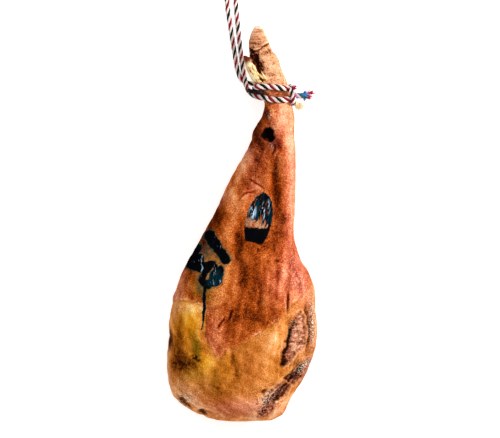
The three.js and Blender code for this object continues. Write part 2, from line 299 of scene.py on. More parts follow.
hamForm = {
    "voxel": 2.05,
    # in and out by turns takes out the voxels' steps and keeps the volume
    "relaxPulls": (0.6, -0.61) * 20,
    "hollowPulls": (0.6,) * 10,
    # where the skin was trimmed back to the fat, from the left outline to the right one
    "trimLine": [
        (-142, 24), (-116, 27), (-96, 25), (-76, 17), (-68, 2), (-65, -20), (-67, -40), (-58, -56),
        (-48, -75), (-38, -78), (-29, -66), (-20, -65), (-11, -57), (7, -45), (25, -36), (45, -21),
        (61, -12), (73, 3), (82, 15), (97, 26), (115, 42), (124, 60), (140, 66),
    ],
    "innerTrimLine": [(-142, 24), (-100, 48), (-50, 82), (0, 66), (50, 92), (100, 72), (140, 66)],
    # bare lean meat between edges of fat
    "leanOutlines": [
        [(96, 6), (106, 14), (114, 2), (118, -20), (116, -44), (108, -64), (94, -78), (78, -88), (67, -91),
         (71, -66), (76, -42), (84, -16)],
        [(72, -116), (86, -100), (100, -88), (120, -74), (126, -84), (112, -108), (92, -124)],
        [(88, -122), (72, -122), (50, -135), (38, -152), (29, -171), (24, -186), (44, -182),
         (62, -162), (78, -142)],
    ],
    # where its edge is soft: soft dabs, with the millimetres that they take off the depth in it
    "leanFades": [(118, -28, 44, 11, -4, 7.0), (100, -76, 12, 10, 30, 6.0), (104, 12, 10, 14, 0, 4.0)],
    "innerLeanOutlines": [
        [(-60, -60), (-10, -40), (40, -52), (62, -90), (30, -124), (-30, -120), (-70, -96)],
        [(70, -10), (92, 10), (96, -30), (80, -50)],
    ],
    # cracks: their line, how wide and how deep they are
    "cracks": [
        {"line": [(-22, -50), (-16, -84), (-8, -110), (-1, -136)], "width": 4.4, "depth": 0.8},
        {"line": [(-11, -84), (-4, -100), (-5, -118)], "width": 2.6, "depth": 0.6},
        {"line": [(82, 41), (79, 24), (80, 5)], "width": 2.4, "depth": 2.6},
        {"line": [(-35, -2), (-37, -8), (-41, -16), (-42, -26)], "width": 2.0, "depth": 1.5},
        {"line": [(-30, -4), (-33, -14), (-36, -20)], "width": 1.8, "depth": 1.0},
        {"line": [(-19, 9), (-22, 2), (-24, -6), (-29, -12)], "width": 2.0, "depth": 1.5},
        {"line": [(54, 309), (56, 296), (55, 284)], "width": 2.2, "depth": 2.0},
        {"line": [(13, 247), (24, 239), (39, 228)], "width": 2.0, "depth": 1.8},
        {"line": [(-5, 211), (9, 221), (30, 225)], "width": 2.0, "depth": 1.2},
        {"line": [(-118, -147), (-106, -157), (-95, -167)], "width": 4.0, "depth": 4.0},
        {"line": [(59, 90), (63, 60), (58, 34)], "width": 3.4, "depth": 0.6},
        {"line": [(97, 90), (84, 64), (88, 48)], "width": 3.0, "depth": 0.6},
        {"line": [(108, 68), (98, 50), (99, 36)], "width": 3.0, "depth": 0.5},
        {"line": [(30, 62), (34, 26), (28, -8)], "width": 5.0, "depth": 1.2},
        {"line": [(20, 470), (26, 455), (30, 438)], "width": 4.0, "depth": 2.4},
    ],
    "pits": [(-133, -44, 17, 5, 0, 5.0), (-72, -175, 4, 8, 20, 4.0), (43, 138, 3, 3, 0, 1.4),
             (27, 117, 3, 3, 0, 1.2), (61, 96, 3, 4, 0, 1.4), (38, -138, 5, 5, 0, 2.5)],
    "hockHole": [(46, 327, 10.5), (51, 318, 6.5), (39, 323, 6)],  # discs: x, y, radius
    "hornEdge": [(-20, 490), (9, 482), (20, 475), (30, 478), (36, 484), (43, 488), (52, 491), (90, 494)],
    "dewclaws": [((33, 424, 60), (3, 467, 64)), ((33, 424, 44), (3, 467, 40))],
    "dewclawRadius": (17, 5),
    "dewclawsFrom": 418,  # there is no dewclaw below this y
    "besideClaw": (23, 461, 15, 4.5, 20, 1.0),  # the hollow at the left of the claw, as a dab
    "outside": -60.0,  # the depth that stands for well outside an outline
}

# how high and how deep the relief is
hamHeights = {
    "swell": 0.9,
    "folds": 1.15,
    "wrinkles": 0.22,
    "fatFolds": 1.4,
    "fatWrinkles": 0.14,
    "skin": 0.8,  # how far the skin stands above the trimmed fat
    "trimLip": 0.25,
    "lean": 1.7,
    "bark": 0.8,
    "leanSwell": 0.5,
    "leanLip": 0.5,
    "rough": 1.5,
    "hole": 3.5,
    "holeSwell": 1.6,
    "horn": 0.7,
    "hornGroove": 0.5,
    "hornRings": 0.22,
    "besideClaw": 3.4,
    "footCreases": 0.3,
    "dewclawRibs": 0.9,
}

# soft bands of tone: where they run, half width, strength
hamBands = {
    # mostly painted shade: grooves, the leg's shaded left edge, the creases by the claw and the rope's
    # shadow between its turns, with some darker tone
    "darkToneAndShade": [
        ([(30, 350), (18, 326), (10, 300)], 10, 0.7),
        ([(-36, 198), (-44, 180), (-74, 124), (-104, 74)], 14, 0.85),
        ([(62, 280), (61, 250), (62, 220), (67, 186), (69, 150)], 11, 0.5),
        ([(56, 318), (59, 308), (62, 298)], 5, 0.6),
        ([(36, 290), (24, 262), (10, 230)], 9, 0.5),
        ([(-4, 170), (-6, 110), (2, 60), (-12, 4), (-20, -30)], 9, 0.55),
        ([(20, 96), (18, 40), (6, 0)], 8, 0.4),
        ([(64, 104), (62, 60), (58, 20)], 4.5, 0.35),
        ([(86, 96), (82, 60), (80, 4)], 4, 0.45),
        ([(103, 62), (99, 36), (96, 14)], 3.5, 0.3),
        ([(88, -8), (80, -36), (75, -62), (69, -88)], 4.0, 0.95),
        ([(112, 22), (115, -6), (118, -32), (114, -60)], 2.6, 0.8),
        ([(-36, -6), (-38, -16), (-42, -26)], 3.0, 0.45),
        ([(-21, 8), (-24, -4), (-29, -12)], 3.0, 0.45),
        ([(12, 482), (20, 466), (32, 450), (38, 436)], 5.5, 0.95),
        ([(4, 404), (18, 402), (34, 400)], 8, 0.95),
        ([(-30, 22), (-66, 4), (-66, -40)], 4, 0.3),
    ],
    # mostly painted highlights: the lit ridges of the shank, a light band along the leg's left edge and the
    # bottom edge, with some paler tone
    "pale": [
        ([(4, 290), (-8, 248), (-18, 210), (-20, 180), (-30, 140)], 8, 0.44),
        ([(82, 345), (84, 315), (86, 285)], 8, 0.8),
        ([(85, 295), (87, 240), (88, 200), (91, 140)], 6, 0.6),
        ([(74, 124), (74, 70), (72, 30)], 7, 0.4),
        ([(100, 8), (103, -34), (94, -74)], 4.5, 0.15),
        ([(-110, 24), (-90, 18), (-72, 10)], 6, 0.6),
        ([(-90, 14), (-82, -16), (-76, -50)], 5, 0.4),
        ([(-116, -136), (-80, -170), (-20, -186), (30, -188)], 10, 0.6),
        ([(102, -136), (70, -168), (40, -190)], 6, 0.7),
    ],
    "red": [
        ([(70, 128), (66, 80), (60, 20)], 5, 0.6),
        ([(12, 248), (24, 240), (40, 228)], 3, 0.9),
        ([(-6, 211), (8, 221), (30, 225)], 3, 0.8),
        ([(64, 330), (66, 290), (68, 250)], 6, 0.3),
    ],
}
# soft dabs of tone: x, y, half length, half width, turn, strength
hamTones = {
    # mostly painted shade in hollows, at shaded edges and under the rope, with some darker tone
    "darkToneAndShade": [
        (34, 314, 24, 15, 20, 0.85), (30, 276, 26, 13, 24, 0.6), (68, 158, 34, 12, 0, 0.15),
        (41, 356, 16, 8, 0, 0.7), (60, 150, 34, 15, 0, 0.5), (36, 128, 14, 26, 0, 0.4),
        (14, 120, 20, 20, 0, 0.15), (21, 86, 12, 12, 0, 0.3), (16, 62, 44, 13, 0, 0.45),
        (12, -4, 13, 36, 0, 0.45), (34, -8, 24, 28, 20, 0.25), (56, 312, 16, 10, 0, 0.5),
        (-90, 64, 30, 14, 20, 0.2), (-44, 190, 30, 8, 26, 0.3), (-112, -26, 44, 6, 2, 0.35),
        (-116, -72, 32, 9, 4, 0.6), (-46, -128, 40, 16, -8, 0.6), (4, -88, 28, 26, 0, 0.25),
        (94, -108, 22, 8, 50, 0.5), (66, -140, 26, 7, 50, 0.5), (-30, -182, 9, 50, 0, 0.3),
        (28, 324, 14, 9, 0, 0.8), (56, 312, 17, 9, -24, 0.8), (100, 64, 36, 14, -14, 0.2),
        (50, 268, 16, 10, 0, 0.25), (118, -24, 44, 7, 0, 0.35), (-82, -62, 18, 8, 0, 0.4),
        (-114, -84, 22, 14, 0, 0.75), (-60, -54, 18, 12, 0, 0.2), (-88, -86, 12, 9, 0, 0.6),
        (74, -78, 9, 4, 0, 0.6), (94, -112, 12, 20, 0, 0.4), (-30, -160, 16, 30, 0, 0.35),
        (-14, -88, 26, 6, -8, 0.4), (14, 470, 16, 9, 10, 0.5), (-24, -40, 16, 12, 0, 0.3),
        (22, -60, 20, 10, 0, 0.25), (36, -172, 12, 30, 0, 0.3), (-117, -27, 30, 7, 0, 0.35),
        (34, 258, 22, 10, 10, 0.4), (-32, -146, 14, 16, 0, 0.2), (48, 477, 12, 12, 0, 0.25),
        (100, -90, 12, 8, 0, 0.8), (14, -64, 16, 12, 0, 0.3), (60, -8, 14, 8, 0, 0.25),
        (71, -102, 9, 14, 40, 0.4), (-6, 236, 18, 10, 24, 0.3), (68, -128, 12, 8, 45, 0.3),
        (-116, -4, 20, 6, 0, 0.3), (69, -86, 7, 5, 0, 0.9), (8, 486, 20, 5, 10, 0.5),
        (64, 396, 8, 6, 0, 0.3), (-90, -80, 8, 10, 0, 0.5),
    ],
    # mostly painted highlights on ridges and edges, with some paler tone
    "pale": [
        (74, 356, 34, 18, 0, 0.85), (82, 318, 26, 9, 0, 0.5), (-34, 138, 34, 12, 27, 0.12),
        (-15, 238, 26, 7, 27, 0.4), (24, 236, 16, 12, 0, 0.45), (6, 196, 26, 10, 0, 0.25),
        (-44, 40, 26, 18, 0, 0.55), (56, -52, 44, 20, 18, 0.6), (20, -66, 20, 26, 0, 0.3),
        (-12, -162, 13, 60, 0, 0.5), (-128, -24, 16, 6, 0, 0.5), (-104, 0, 22, 10, 0, 0.6),
        (100, 24, 20, 12, 0, 0.45), (40, -120, 26, 16, 40, 0.45), (-112, -120, 22, 12, -20, 0.4),
        (16, -150, 14, 24, 0, 0.3), (90, 62, 40, 20, -14, 0.25), (34, -40, 16, 20, 20, 0.3),
        (-64, -84, 20, 12, 0, 0.6), (70, 372, 16, 16, 0, 0.5), (50, 190, 20, 9, 0, 0.25),
        (21, 216, 16, 12, 0, 0.3), (-8, 24, 14, 12, 0, 0.25), (-114, -132, 12, 14, -20, 0.4),
    ],
    "pink": [
        (74, 350, 44, 22, 0, 0.5), (88, 230, 70, 9, 0, 0.5), (98, 74, 50, 20, -14, 1.0),
        (24, 290, 40, 24, 24, 0.3), (66, 56, 38, 24, 0, 0.5), (82, 190, 70, 8, 0, 0.6),
        (20, 226, 30, 18, 0, 0.3), (0, -168, 18, 80, 0, 0.6), (20, -100, 40, 40, 0, 0.2),
        (60, 316, 26, 10, 0, 0.4), (84, 296, 44, 10, 0, 0.5), (-56, -36, 36, 18, 0, 0.35),
        (-10, -164, 12, 50, 0, 0.3),
    ],
    "red": [
        (-46, -34, 34, 22, 0, 0.5), (-31, -10, 24, 10, 14, 0.7), (66, 306, 30, 9, 0, 0.3),
        (84, 100, 46, 6, -4, 0.5), (104, 56, 34, 5, -10, 0.6), (82, 22, 24, 5, 0, 0.7),
        (-118, 60, 44, 10, 14, 0.4), (60, 230, 60, 12, 0, 0.5), (40, 60, 30, 6, 0, 0.4),
        (14, 226, 14, 14, 0, 0.4),
    ],
    "yellow": [
        (-94, -12, 42, 28, 0, 1.0), (-80, -80, 30, 24, 0, 0.7), (-30, -96, 34, 26, 0, 0.45),
        (-64, -84, 22, 16, 0, 1.0), (40, -100, 30, 40, 0, 0.25),
    ],
    "green": [
        (-84, -58, 30, 8, -8, 1.0), (-92, -108, 14, 20, 0, 0.5), (58, 268, 16, 12, 0, 0.12),
        (-82, 50, 16, 8, 0, 0.5), (-58, 84, 40, 28, 20, 0.5), (-66, 44, 26, 14, 0, 0.5),
        (-36, 236, 34, 6, 27, 0.3), (-52, -118, 26, 8, 0, 0.3),
    ],
    # the brownish grey of bare meat
    "grey": [
        (118, -20, 50, 10, 0, 0.85), (64, 168, 24, 8, 0, 0.2), (24, 238, 16, 14, 0, 0.3),
        (-96, -150, 14, 24, -30, 0.5), (64, 270, 20, 7, 0, 0.25), (-8, -172, 10, 60, 0, 0.3),
        (96, -40, 44, 12, 0, 0.3), (110, -100, 30, 14, 30, 0.4), (52, 330, 12, 14, 0, 0.3),
        (-112, -128, 20, 10, -20, 0.4), (56, 398, 7, 20, 0, 0.5), (20, 290, 34, 20, 20, 0.25),
    ],
    # where pale flecks lie, many of them painted highlights on edges, ridges and the flap by the hole
    "paleFlecksAndGlints": [
        (53, 306, 4.5, 4, 0, 1.0), (40, -152, 24, 9, 40, 0.95), (110, -90, 16, 7, 50, 0.9),
        (50, 360, 10, 5, 0, 0.4), (126, -14, 44, 6, -2, 1.0), (-92, 12, 8, 24, 0, 0.5),
        (-106, -148, 10, 12, -30, 0.6), (62, -12, 6, 7, 24, 0.3), (28, -34, 5, 7, 0, 0.3),
        (86, 180, 60, 6, 0, 0.2), (96, 70, 40, 14, -10, 0.2), (96, -40, 40, 8, -10, 0.25),
    ],
    # dark brown stains, and painted shade between the rope's turns
    "brownStainAndShade": [
        (56, 313, 17, 11, 24, 0.9), (29, 326, 10, 7, 0, 0.8), (46, 340, 8, 12, 0, 0.5),
        (44, 362, 14, 4, 0, 0.6), (-106, -86, 12, 20, -10, 0.5), (20, 400, 7, 16, 0, 0.7),
    ],
    # where the surface is pitted and has dark specks
    "rough": [
        (123, -12, 40, 5, -2, 0.7), (-108, -86, 14, 22, -10, 1.0), (-86, -82, 10, 12, 0, 0.9),
        (-104, -152, 10, 16, -30, 0.8), (70, -142, 30, 14, 44, 0.7), (-30, -8, 18, 12, 12, 0.3),
        (86, -88, 16, 10, 0, 0.8), (46, 360, 20, 8, 0, 0.9), (36, -150, 24, 20, 0, 0.5),
    ],
}

inkForm = {
    "blots": [
        ([(-60, 142), (-50, 126), (-38, 110), (-32, 99)], 9.8),
        ([(-84, 119), (-90, 106), (-92, 92), (-78, 88)], 11.5),
        ([(-76, 104), (-70, 88), (-60, 92)], 5.5),
        ([(-56, 94), (-66, 78), (-74, 62)], 6.5),
        ([(-41, 80), (-41, 72), (-48, 60), (-62, 54), (-70, 58)], 8.0),
        ([(-50, 88), (-56, 66)], 4.0),
    ],
    "drip": ([(-66, 52), (-70, 30), (-71, 4), (-73, -26)], (3.6, 1.5)),
    "oval": {"middle": (28, 169), "halfLength": 52, "halfWidth": 23.5, "turn": 13, "foot": -0.77},
    "haloFrom": (30, 55),  # the halo fades in between these y, so that the drip has none
    # soft round spots: their middle, and how far they reach
    "thinSpots": [((-71, 52, 110), 17), ((-62, 118, 100), 22)],
    "smear": ((-46, 64, 110), 24),
    # painted glints on the ink: these in halves of the oval's width and length
    "glints": [((0.3, 0.44, 0.1), 0.42), ((-0.6, 0.22, 0.1), 0.36)],
}


def plainCopy(node, name):  # the CAD solid's shape, with its loose triangles joined
    shape = bmesh.new()
    shape.from_mesh(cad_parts[node].data)
    bmesh.ops.remove_doubles(shape, verts=shape.verts, dist=0.00001)
    mesh = bpy.data.meshes.new(name)
    shape.to_mesh(mesh)
    shape.free()
    return newObject(name, mesh)


def bakedMesh(thing, name):  # what the modifiers make, as a plain mesh
    bpy.context.view_layer.update()
    seen = thing.evaluated_get(bpy.context.evaluated_depsgraph_get())
    mesh = bpy.data.meshes.new_from_object(seen)
    mesh.name = name
    return mesh


def asSeen(points):  # places as the main picture shows them, at the height of the outline
    distance = view["distance"]
    nearer = distance / (distance - (points[:, 2] - view["outlineHeight"]))
    middle = np.array(view["middle"])
    return middle + (points[:, :2] - middle) * nearer[:, None]


def trimDepth(plan, line):  # how far below the trim line a place is: fat above 0, skin below 0
    line = np.asarray(line, float)
    distance, _ = fromLine(plan, line)
    below = plan[:, 1] < np.interp(plan[:, 0], line[:, 0], line[:, 1])
    return np.where(below, distance, -distance)


def wavered(plan, points, reach, size, seed, layers=2):  # moves each place a little, so that edges wander
    shifts = [layeredNoise(points, size, seed + step, layers) for step in (0, 6)]
    return plan + reach * np.stack(shifts, axis=1)


def leanDepth(plan, frayed, shown):  # how far a place is inside the bare meat
    outside = hamForm["outside"]
    lean = np.full(len(plan), outside)
    for outline in hamForm["leanOutlines"]:
        lean = np.maximum(lean, depthInOutline(frayed, outline) + outside * (1 - shown))
    lean -= dabDepth(plan, hamForm["leanFades"])
    for outline in hamForm["innerLeanOutlines"]:
        lean = np.maximum(lean, depthInOutline(frayed, outline) + outside * shown)
    return lean


def crackDepth(ragged):
    crack = np.zeros(len(ragged))
    for c in hamForm["cracks"]:
        distance, place = fromLine(ragged, c["line"])
        fade = smoothStep(0, 0.2, place) * smoothStep(0, 0.3, 1 - place) * 0.7 + 0.3
        crack = np.maximum(crack, c["depth"] * fade * np.exp(-((distance / c["width"]) ** 2)))
    return crack


def inHole(torn):  # 1 in the hole at the hock, which is made of a few discs
    reaches = [np.hypot(torn[:, 0] - x, torn[:, 1] - y) / radius for x, y, radius in hamForm["hockHole"]]
    return 1 - smoothStep(0.5, 1.35, np.min(reaches, axis=0))


def footMasks(points):  # how far above the horn's edge and inside the dewclaws a place is
    edge = np.asarray(hamForm["hornEdge"], float)
    thick, thin = hamForm["dewclawRadius"]
    dew = np.full(len(points), hamForm["outside"])
    tip = np.zeros(len(points))
    for line in hamForm["dewclaws"]:
        distance, place = fromLine(points, line)
        depth = thick + (thin - thick) * place - distance
        tip = np.where(depth > dew, place, tip)
        dew = np.maximum(dew, depth)
    return {
        "horn": points[:, 1] - np.interp(points[:, 0], edge[:, 0], edge[:, 1]),
        "dew": np.where(points[:, 1] > hamForm["dewclawsFrom"], dew, hamForm["outside"]),
        "dewTip": tip,
    }


def toneMask(plan, ragged, tone):  # the dabs and bands of one tone, laid over each other
    clear = 1 - brushed(plan, hamTones[tone])
    for line, width, strength in hamBands.get(tone, []):
        distance, place = fromLine(ragged, line)
        ends = smoothStep(0, 0.12, place) * smoothStep(0, 0.12, 1 - place) * 0.6 + 0.4
        clear *= 1 - strength * ends * np.exp(-((distance / width) ** 2))
    return 1 - clear


def inkDepth(lumpy, ragged):  # how far a place is inside the blots and the drip
    blot = np.full(len(lumpy), hamForm["outside"])
    for line, radius in inkForm["blots"]:
        blot = np.maximum(blot, radius - fromLine(lumpy, line)[0])
    line, (wide, narrow) = inkForm["drip"]
    distance, place = fromLine(ragged, line)
    return np.maximum(blot, wide + (narrow - wide) * place - distance)


def hamMasks(points, normals):
    plan = asSeen(points)
    shown = smoothStep(-0.22, 0.12, normals[:, 2])
    ragged = wavered(plan, points, 2.6, 22, 41, 4)
    frayed = wavered(ragged, points, 2.4, 8, 83)
    torn = wavered(plan, points, 1.6, 8, 61)
    lumpy = wavered(plan, points, 2.2, 13, 73)
    outer = trimDepth(ragged, hamForm["trimLine"])
    inner = trimDepth(ragged, hamForm["innerTrimLine"])
    masks = {
        "trim": outer * shown + inner * (1 - shown),
        "lean": leanDepth(plan, frayed, shown),
        "crack": crackDepth(ragged) * shown,
        "pit": dabDepth(ragged, hamForm["pits"]) * shown,
        "hole": inHole(torn) * shown,
        "blot": np.where(shown > 0.5, inkDepth(lumpy, ragged), hamForm["outside"]),
        "shown": shown,
    }
    masks.update(footMasks(points))
    for tone in hamTones:
        masks[tone] = toneMask(plan, ragged, tone) * shown
    return masks


def ridged(points, size, seed):  # sharp ridges with rounded valleys
    return 1 - 2 * np.abs(layeredNoise(points, size, seed))


def turnedPlan(points, degrees):  # x along the direction, y across it
    a = math.radians(degrees)
    x, y, z = points.T
    return np.stack([x * math.cos(a) + y * math.sin(a), y * math.cos(a) - x * math.sin(a), z], axis=1)


def ridgeAt(depth, place, width):  # a rounded ridge that follows one depth
    return np.exp(-(((depth - place) / width) ** 2))


def leanRelief(points, depth):  # bare meat lies lower, and its grain follows each strip
    high = hamHeights
    low = smoothStep(-98, -110, points[:, 1])[:, None]
    grain = turnedPlan(points, 52) * low + turnedPlan(points, 4) * (1 - low)
    bark = ridged(grain * (0.3, 1, 0.7), 7, 31)
    sunk = high["lean"] - high["bark"] * bark - high["leanSwell"] * layeredNoise(points, 9, 33)
    return high["leanLip"] * ridgeAt(depth, -3.0, 2.8) - smoothStep(-1.0, 5.0, depth) * sunk


def footRelief(points, masks, foot):  # the horn's edge and rings, the creases above it, the dewclaws' ribs
    high = hamHeights
    horn = masks["horn"]
    height = high["horn"] * smoothStep(-0.8, 0.8, horn) - high["hornGroove"] * ridgeAt(horn, -2, 1.6)
    height -= high["besideClaw"] * brushed(asSeen(points), [hamForm["besideClaw"]]) * masks["shown"]
    creases = np.sin(points[:, 1] / 2.6 + 2.2 * latticeNoise(points, 16, 53))
    height += foot * (1 - smoothStep(-2, 1, horn)) * high["footCreases"] * creases
    ribs = ridged(turnedPlan(points, 122) * (0.25, 1, 1), 5, 57)
    height += smoothStep(0, 3, masks["dew"]) * high["dewclawRibs"] * ribs
    return height + high["hornRings"] * smoothStep(2, 6, horn) * np.sin(points[:, 1] / 1.9)


def hamRelief(points, normals, masks):
    high = hamHeights
    skin = smoothStep(3.5, -3.5, masks["trim"])
    foot = smoothStep(405, 425, points[:, 1])
    lengthways = turnedPlan(points, 78) * (0.3, 1, 1)
    folds = high["folds"] * layeredNoise(lengthways, 18, 3, 2)
    folds += high["wrinkles"] * layeredNoise(points, 6, 5, 2)
    fat = high["fatFolds"] * layeredNoise(lengthways, 26, 17, 2)
    fat += high["fatWrinkles"] * layeredNoise(points, 9, 23, 2)
    height = high["swell"] * layeredNoise(points, 36, 9, 2)
    height += skin * ((1 - foot) * folds + high["skin"]) + (1 - skin) * fat
    height += high["trimLip"] * ridgeAt(masks["trim"], -3.2, 2.6)
    height += leanRelief(points, masks["lean"]) + footRelief(points, masks, foot)
    height -= masks["crack"] + masks["pit"]
    height -= masks["rough"] * high["rough"] * smoothStep(0.1, 0.7, layeredNoise(points, 6, 71))
    height -= masks["hole"] * (high["hole"] - high["holeSwell"] * layeredNoise(points, 6, 37))
    underneath = smoothStep(-0.5, -0.9, normals[:, 2]) * (points[:, 2] < 12)
    return height * (1 - underneath)


def makeHam():
    block = plainCopy("ham", "hamBlock")
    voxels = block.modifiers.new("voxels", "REMESH")
    voxels.mode = "VOXEL"
    voxels.voxel_size = hamForm["voxel"] * mm
    mesh = bakedMesh(block, "curedHam")
    bpy.data.objects.remove(block)
    points = relaxed(mesh, readPoints(mesh), hamForm["relaxPulls"])
    points[:, 2] = np.maximum(points[:, 2], 0)
    writePoints(mesh, points)
    normals = readNormals(mesh)
    masks = hamMasks(points, normals)
    points = points + normals * hamRelief(points, normals, masks)[:, None]
    points[:, 2] = np.maximum(points[:, 2], 0)
    writePoints(mesh, points)
    # how far each place lies in a hollow; the finishes paint shade there
    towards = relaxed(mesh, points, hamForm["hollowPulls"]) - points
    masks["hollow"] = np.sum(towards * readNormals(mesh), axis=1)
    for name, values in masks.items():
        storeMask(mesh, name, values)
    mesh.polygons.foreach_set("use_smooth", np.ones(len(mesh.polygons), bool))
    ham = newObject("curedHam", mesh)
    print("ham:", len(mesh.vertices), "points,", len(mesh.polygons), "faces")
    return ham


# Finishes are built from these few node shortcuts

def blend(tree, factor, a, b, kind="MIX"):
    made = addNode(tree, "ShaderNodeMix", {0: factor, 6: a, 7: b}, data_type="RGBA", blend_type=kind)
    return made.outputs[2]


def ramp(tree, factor, stops):
    made = addNode(tree, "ShaderNodeValToRGB", {0: factor})
    band = made.color_ramp
    while len(band.elements) < len(stops):
        band.elements.new(0.5)
    for element, (place, colour) in zip(band.elements, stops):
        element.position = place
        element.color = colour
    return made.outputs[0]


def remap(tree, value, low, high, toLow=0.0, toHigh=1.0):
    inputs = {0: value, 1: low, 2: high, 3: toLow, 4: toHigh}
    return addNode(tree, "ShaderNodeMapRange", inputs, interpolation_type="SMOOTHSTEP").outputs[0]


def calc(tree, operation, a, b=0.0, c=0.0):
    return addNode(tree, "ShaderNodeMath", {0: a, 1: b, 2: c}, operation=operation).outputs[0]


def times(tree, *factors):
    product = factors[0]
    for factor in factors[1:]:
        product = calc(tree, "MULTIPLY", product, factor)
    return product


def plus(tree, base, value, share=1.0):  # the base, and a share of the value
    return calc(tree, "MULTIPLY_ADD", value, share, base)


def largest(tree, *values):
    best = values[0]
    for value in values[1:]:
        best = calc(tree, "MAXIMUM", best, value)
    return best


def swing(tree, texture):  # the texture about its middle, from -0.5 to 0.5
    return calc(tree, "SUBTRACT", texture, 0.5)


def band(tree, value, start, full, fade, gone):  # 1 from full to fade, and 0 below start and above gone
    return times(tree, remap(tree, value, start, full), remap(tree, value, gone, fade))


def mask(tree, name):
    return addNode(tree, "ShaderNodeAttribute", attribute_name=name).outputs["Fac"]


def scaled(tree, coordinates, scale):
    return addNode(tree, "ShaderNodeMapping", {"Vector": coordinates, "Scale": scale}).outputs[0]


def noise(tree, coordinates, scale, detail=4.0, rough=0.55, twist=0.0):
    inputs = {
        "Vector": coordinates,
        "Scale": scale,
        "Detail": detail,
        "Roughness": rough,
        "Distortion": twist,
    }
    return addNode(tree, "ShaderNodeTexNoise", inputs).outputs["Fac"]


hamPaint = {
    # each is a row of tones from dark to light
    "skin": [
        (30, 8, 3), (92, 32, 6), (146, 60, 12), (180, 83, 26), (212, 115, 54), (242, 156, 94),
        (253, 200, 148),
    ],
    "pinkSkin": [
        (56, 14, 10), (124, 40, 24), (178, 75, 50), (208, 106, 76), (229, 135, 106), (246, 173, 145),
        (253, 209, 188),
    ],
    "fat": [
        (50, 18, 3), (112, 52, 8), (164, 87, 20), (194, 112, 40), (227, 145, 75), (246, 181, 118),
        (254, 222, 174),
    ],
    "yellowFat": [
        (50, 24, 4), (122, 66, 6), (184, 108, 8), (219, 134, 14), (241, 161, 28), (251, 196, 74),
        (255, 227, 146),
    ],
    "greenFat": [
        (20, 16, 4), (60, 46, 6), (110, 82, 10), (140, 104, 14), (168, 128, 34), (200, 156, 66),
        (230, 196, 120),
    ],
    "lean": [
        (8, 4, 4), (50, 20, 14), (112, 56, 38), (158, 92, 66), (192, 120, 90), (222, 160, 126),
        (246, 212, 180),
    ],
    "pastern": [
        (26, 8, 5), (122, 60, 36), (204, 134, 92), (232, 168, 122), (244, 188, 146), (251, 208, 172),
        (254, 226, 200),
    ],
    "horn": [
        (60, 26, 14), (150, 86, 54), (208, 140, 100), (226, 164, 124), (238, 184, 146), (247, 206, 174),
        (253, 226, 204),
    ],
    "dewclaw": [
        (36, 12, 6), (104, 48, 22), (172, 104, 50), (208, 146, 78), (230, 180, 104), (249, 212, 146),
        (255, 240, 196),
    ],
    "tip": srgb(110, 44, 30),
    "redness": srgb(214, 128, 112),
    # pale flecks, many of them painted highlights
    "paleFlecksAndGlints": srgb(255, 238, 210),
    "flap": srgb(96, 46, 24),
    # painted shade in the cracks and pits, also the dark specks of rough places
    "crack": srgb(52, 16, 10),
    # dark brown of the stains, also painted shade
    "brownStainAndShade": srgb(66, 22, 14),
    # painted shade inside the hole at the hock
    "hole": srgb(14, 6, 5),
    "ink": srgb(6, 7, 10),
    "teal": srgb(8, 46, 56),
    "moss": srgb(12, 74, 64),
    # the colour of the painted glints on the ink
    "sheen": srgb(186, 214, 240),
    "bareSkin": srgb(236, 186, 148),
    "fatEdgeHighlight": srgb(246, 190, 112),
    "leanEdgeHighlight": srgb(236, 176, 122),
    "greaseTint": srgb(255, 205, 160),
    # where a finish is in its row of tones, and how far masks and textures move it
    "middleTone": 0.472,
    # the pale mask lightens with painted highlights, and the dark mask darkens with painted shade
    "shares": {"pale": 0.38, "darkToneAndShade": -0.46},
    "contrast": {"broad": 0.6, "streak": 0.24, "fine": 0.26, "speck": 0.85, "grain": 1.3},
    "fatContrast": {"broad": 0.6, "streak": 0.4, "fine": 0.26, "speck": 0.5, "grain": 1.1},
    # painted shade in hollows and painted light on rises, for skin and fat
    "hollowShade": -0.29,
    "leanTone": 0.575,
    # painted shade from the dark mask and in hollows, painted highlights from the pale mask
    "leanShares": {"darkToneAndShade": -0.6, "pale": 0.3, "hollow": -0.5},
    "leanContrast": {"bark": 1.15, "fine": 0.8, "speck": 0.9},
    "footTone": 0.36,
    # painted shade from the dark mask and in hollows
    "footShares": {"darkToneAndShade": -0.6, "hollow": -0.5},
    "footContrast": {"broad": 0.5, "fine": 1.0, "speck": 1.1, "grain": 0.9},
    "hornDarker": -0.16,
    "hornContrast": {"fine": 0.6, "speck": 1.0},
    "dewclawTone": 0.56,
    # painted shade in the dewclaws' hollows and from the dark mask
    "dewclawShares": {"hollow": -0.8, "darkToneAndShade": -0.4},
    "roughness": (0.38, 0.62),
    "grease": 0.26,
    "bumps": {"fine": 0.6, "streak": 0.5, "speck": 0.36, "grain": 0.24},
    "grainHeight": 2.1,  # mm
}


def toned(tree, index, name):  # the colour of a tone from 0, dark, to 1, light
    tones = hamPaint[name]
    last = len(tones) - 1
    return ramp(tree, index, [(i / last, srgb(*tone)) for i, tone in enumerate(tones)])


def hamTextures(tree):
    place = addNode(tree, "ShaderNodeTexCoord").outputs["Object"]
    return {
        "place": place,
        "broad": noise(tree, scaled(tree, place, (1.0, 0.5, 1.0)), 32, 4, 0.55, 0.2),
        "streak": noise(tree, scaled(tree, place, (1.0, 0.2, 1.0)), 105, 5, 0.6, 0.6),
        "fine": noise(tree, place, 170, 5, 0.62),
        "speck": noise(tree, place, 420, 3, 0.6),
        "grain": noise(tree, place, 680, 3, 0.7),
        "bark": noise(tree, scaled(tree, place, (0.55, 1.7, 1.0)), 140, 6, 0.72, 1.0),
    }


def toneIndex(tree, textures, base, shares):
    for name, share in shares.items():
        base = plus(tree, base, swing(tree, textures[name]), share)
    return base


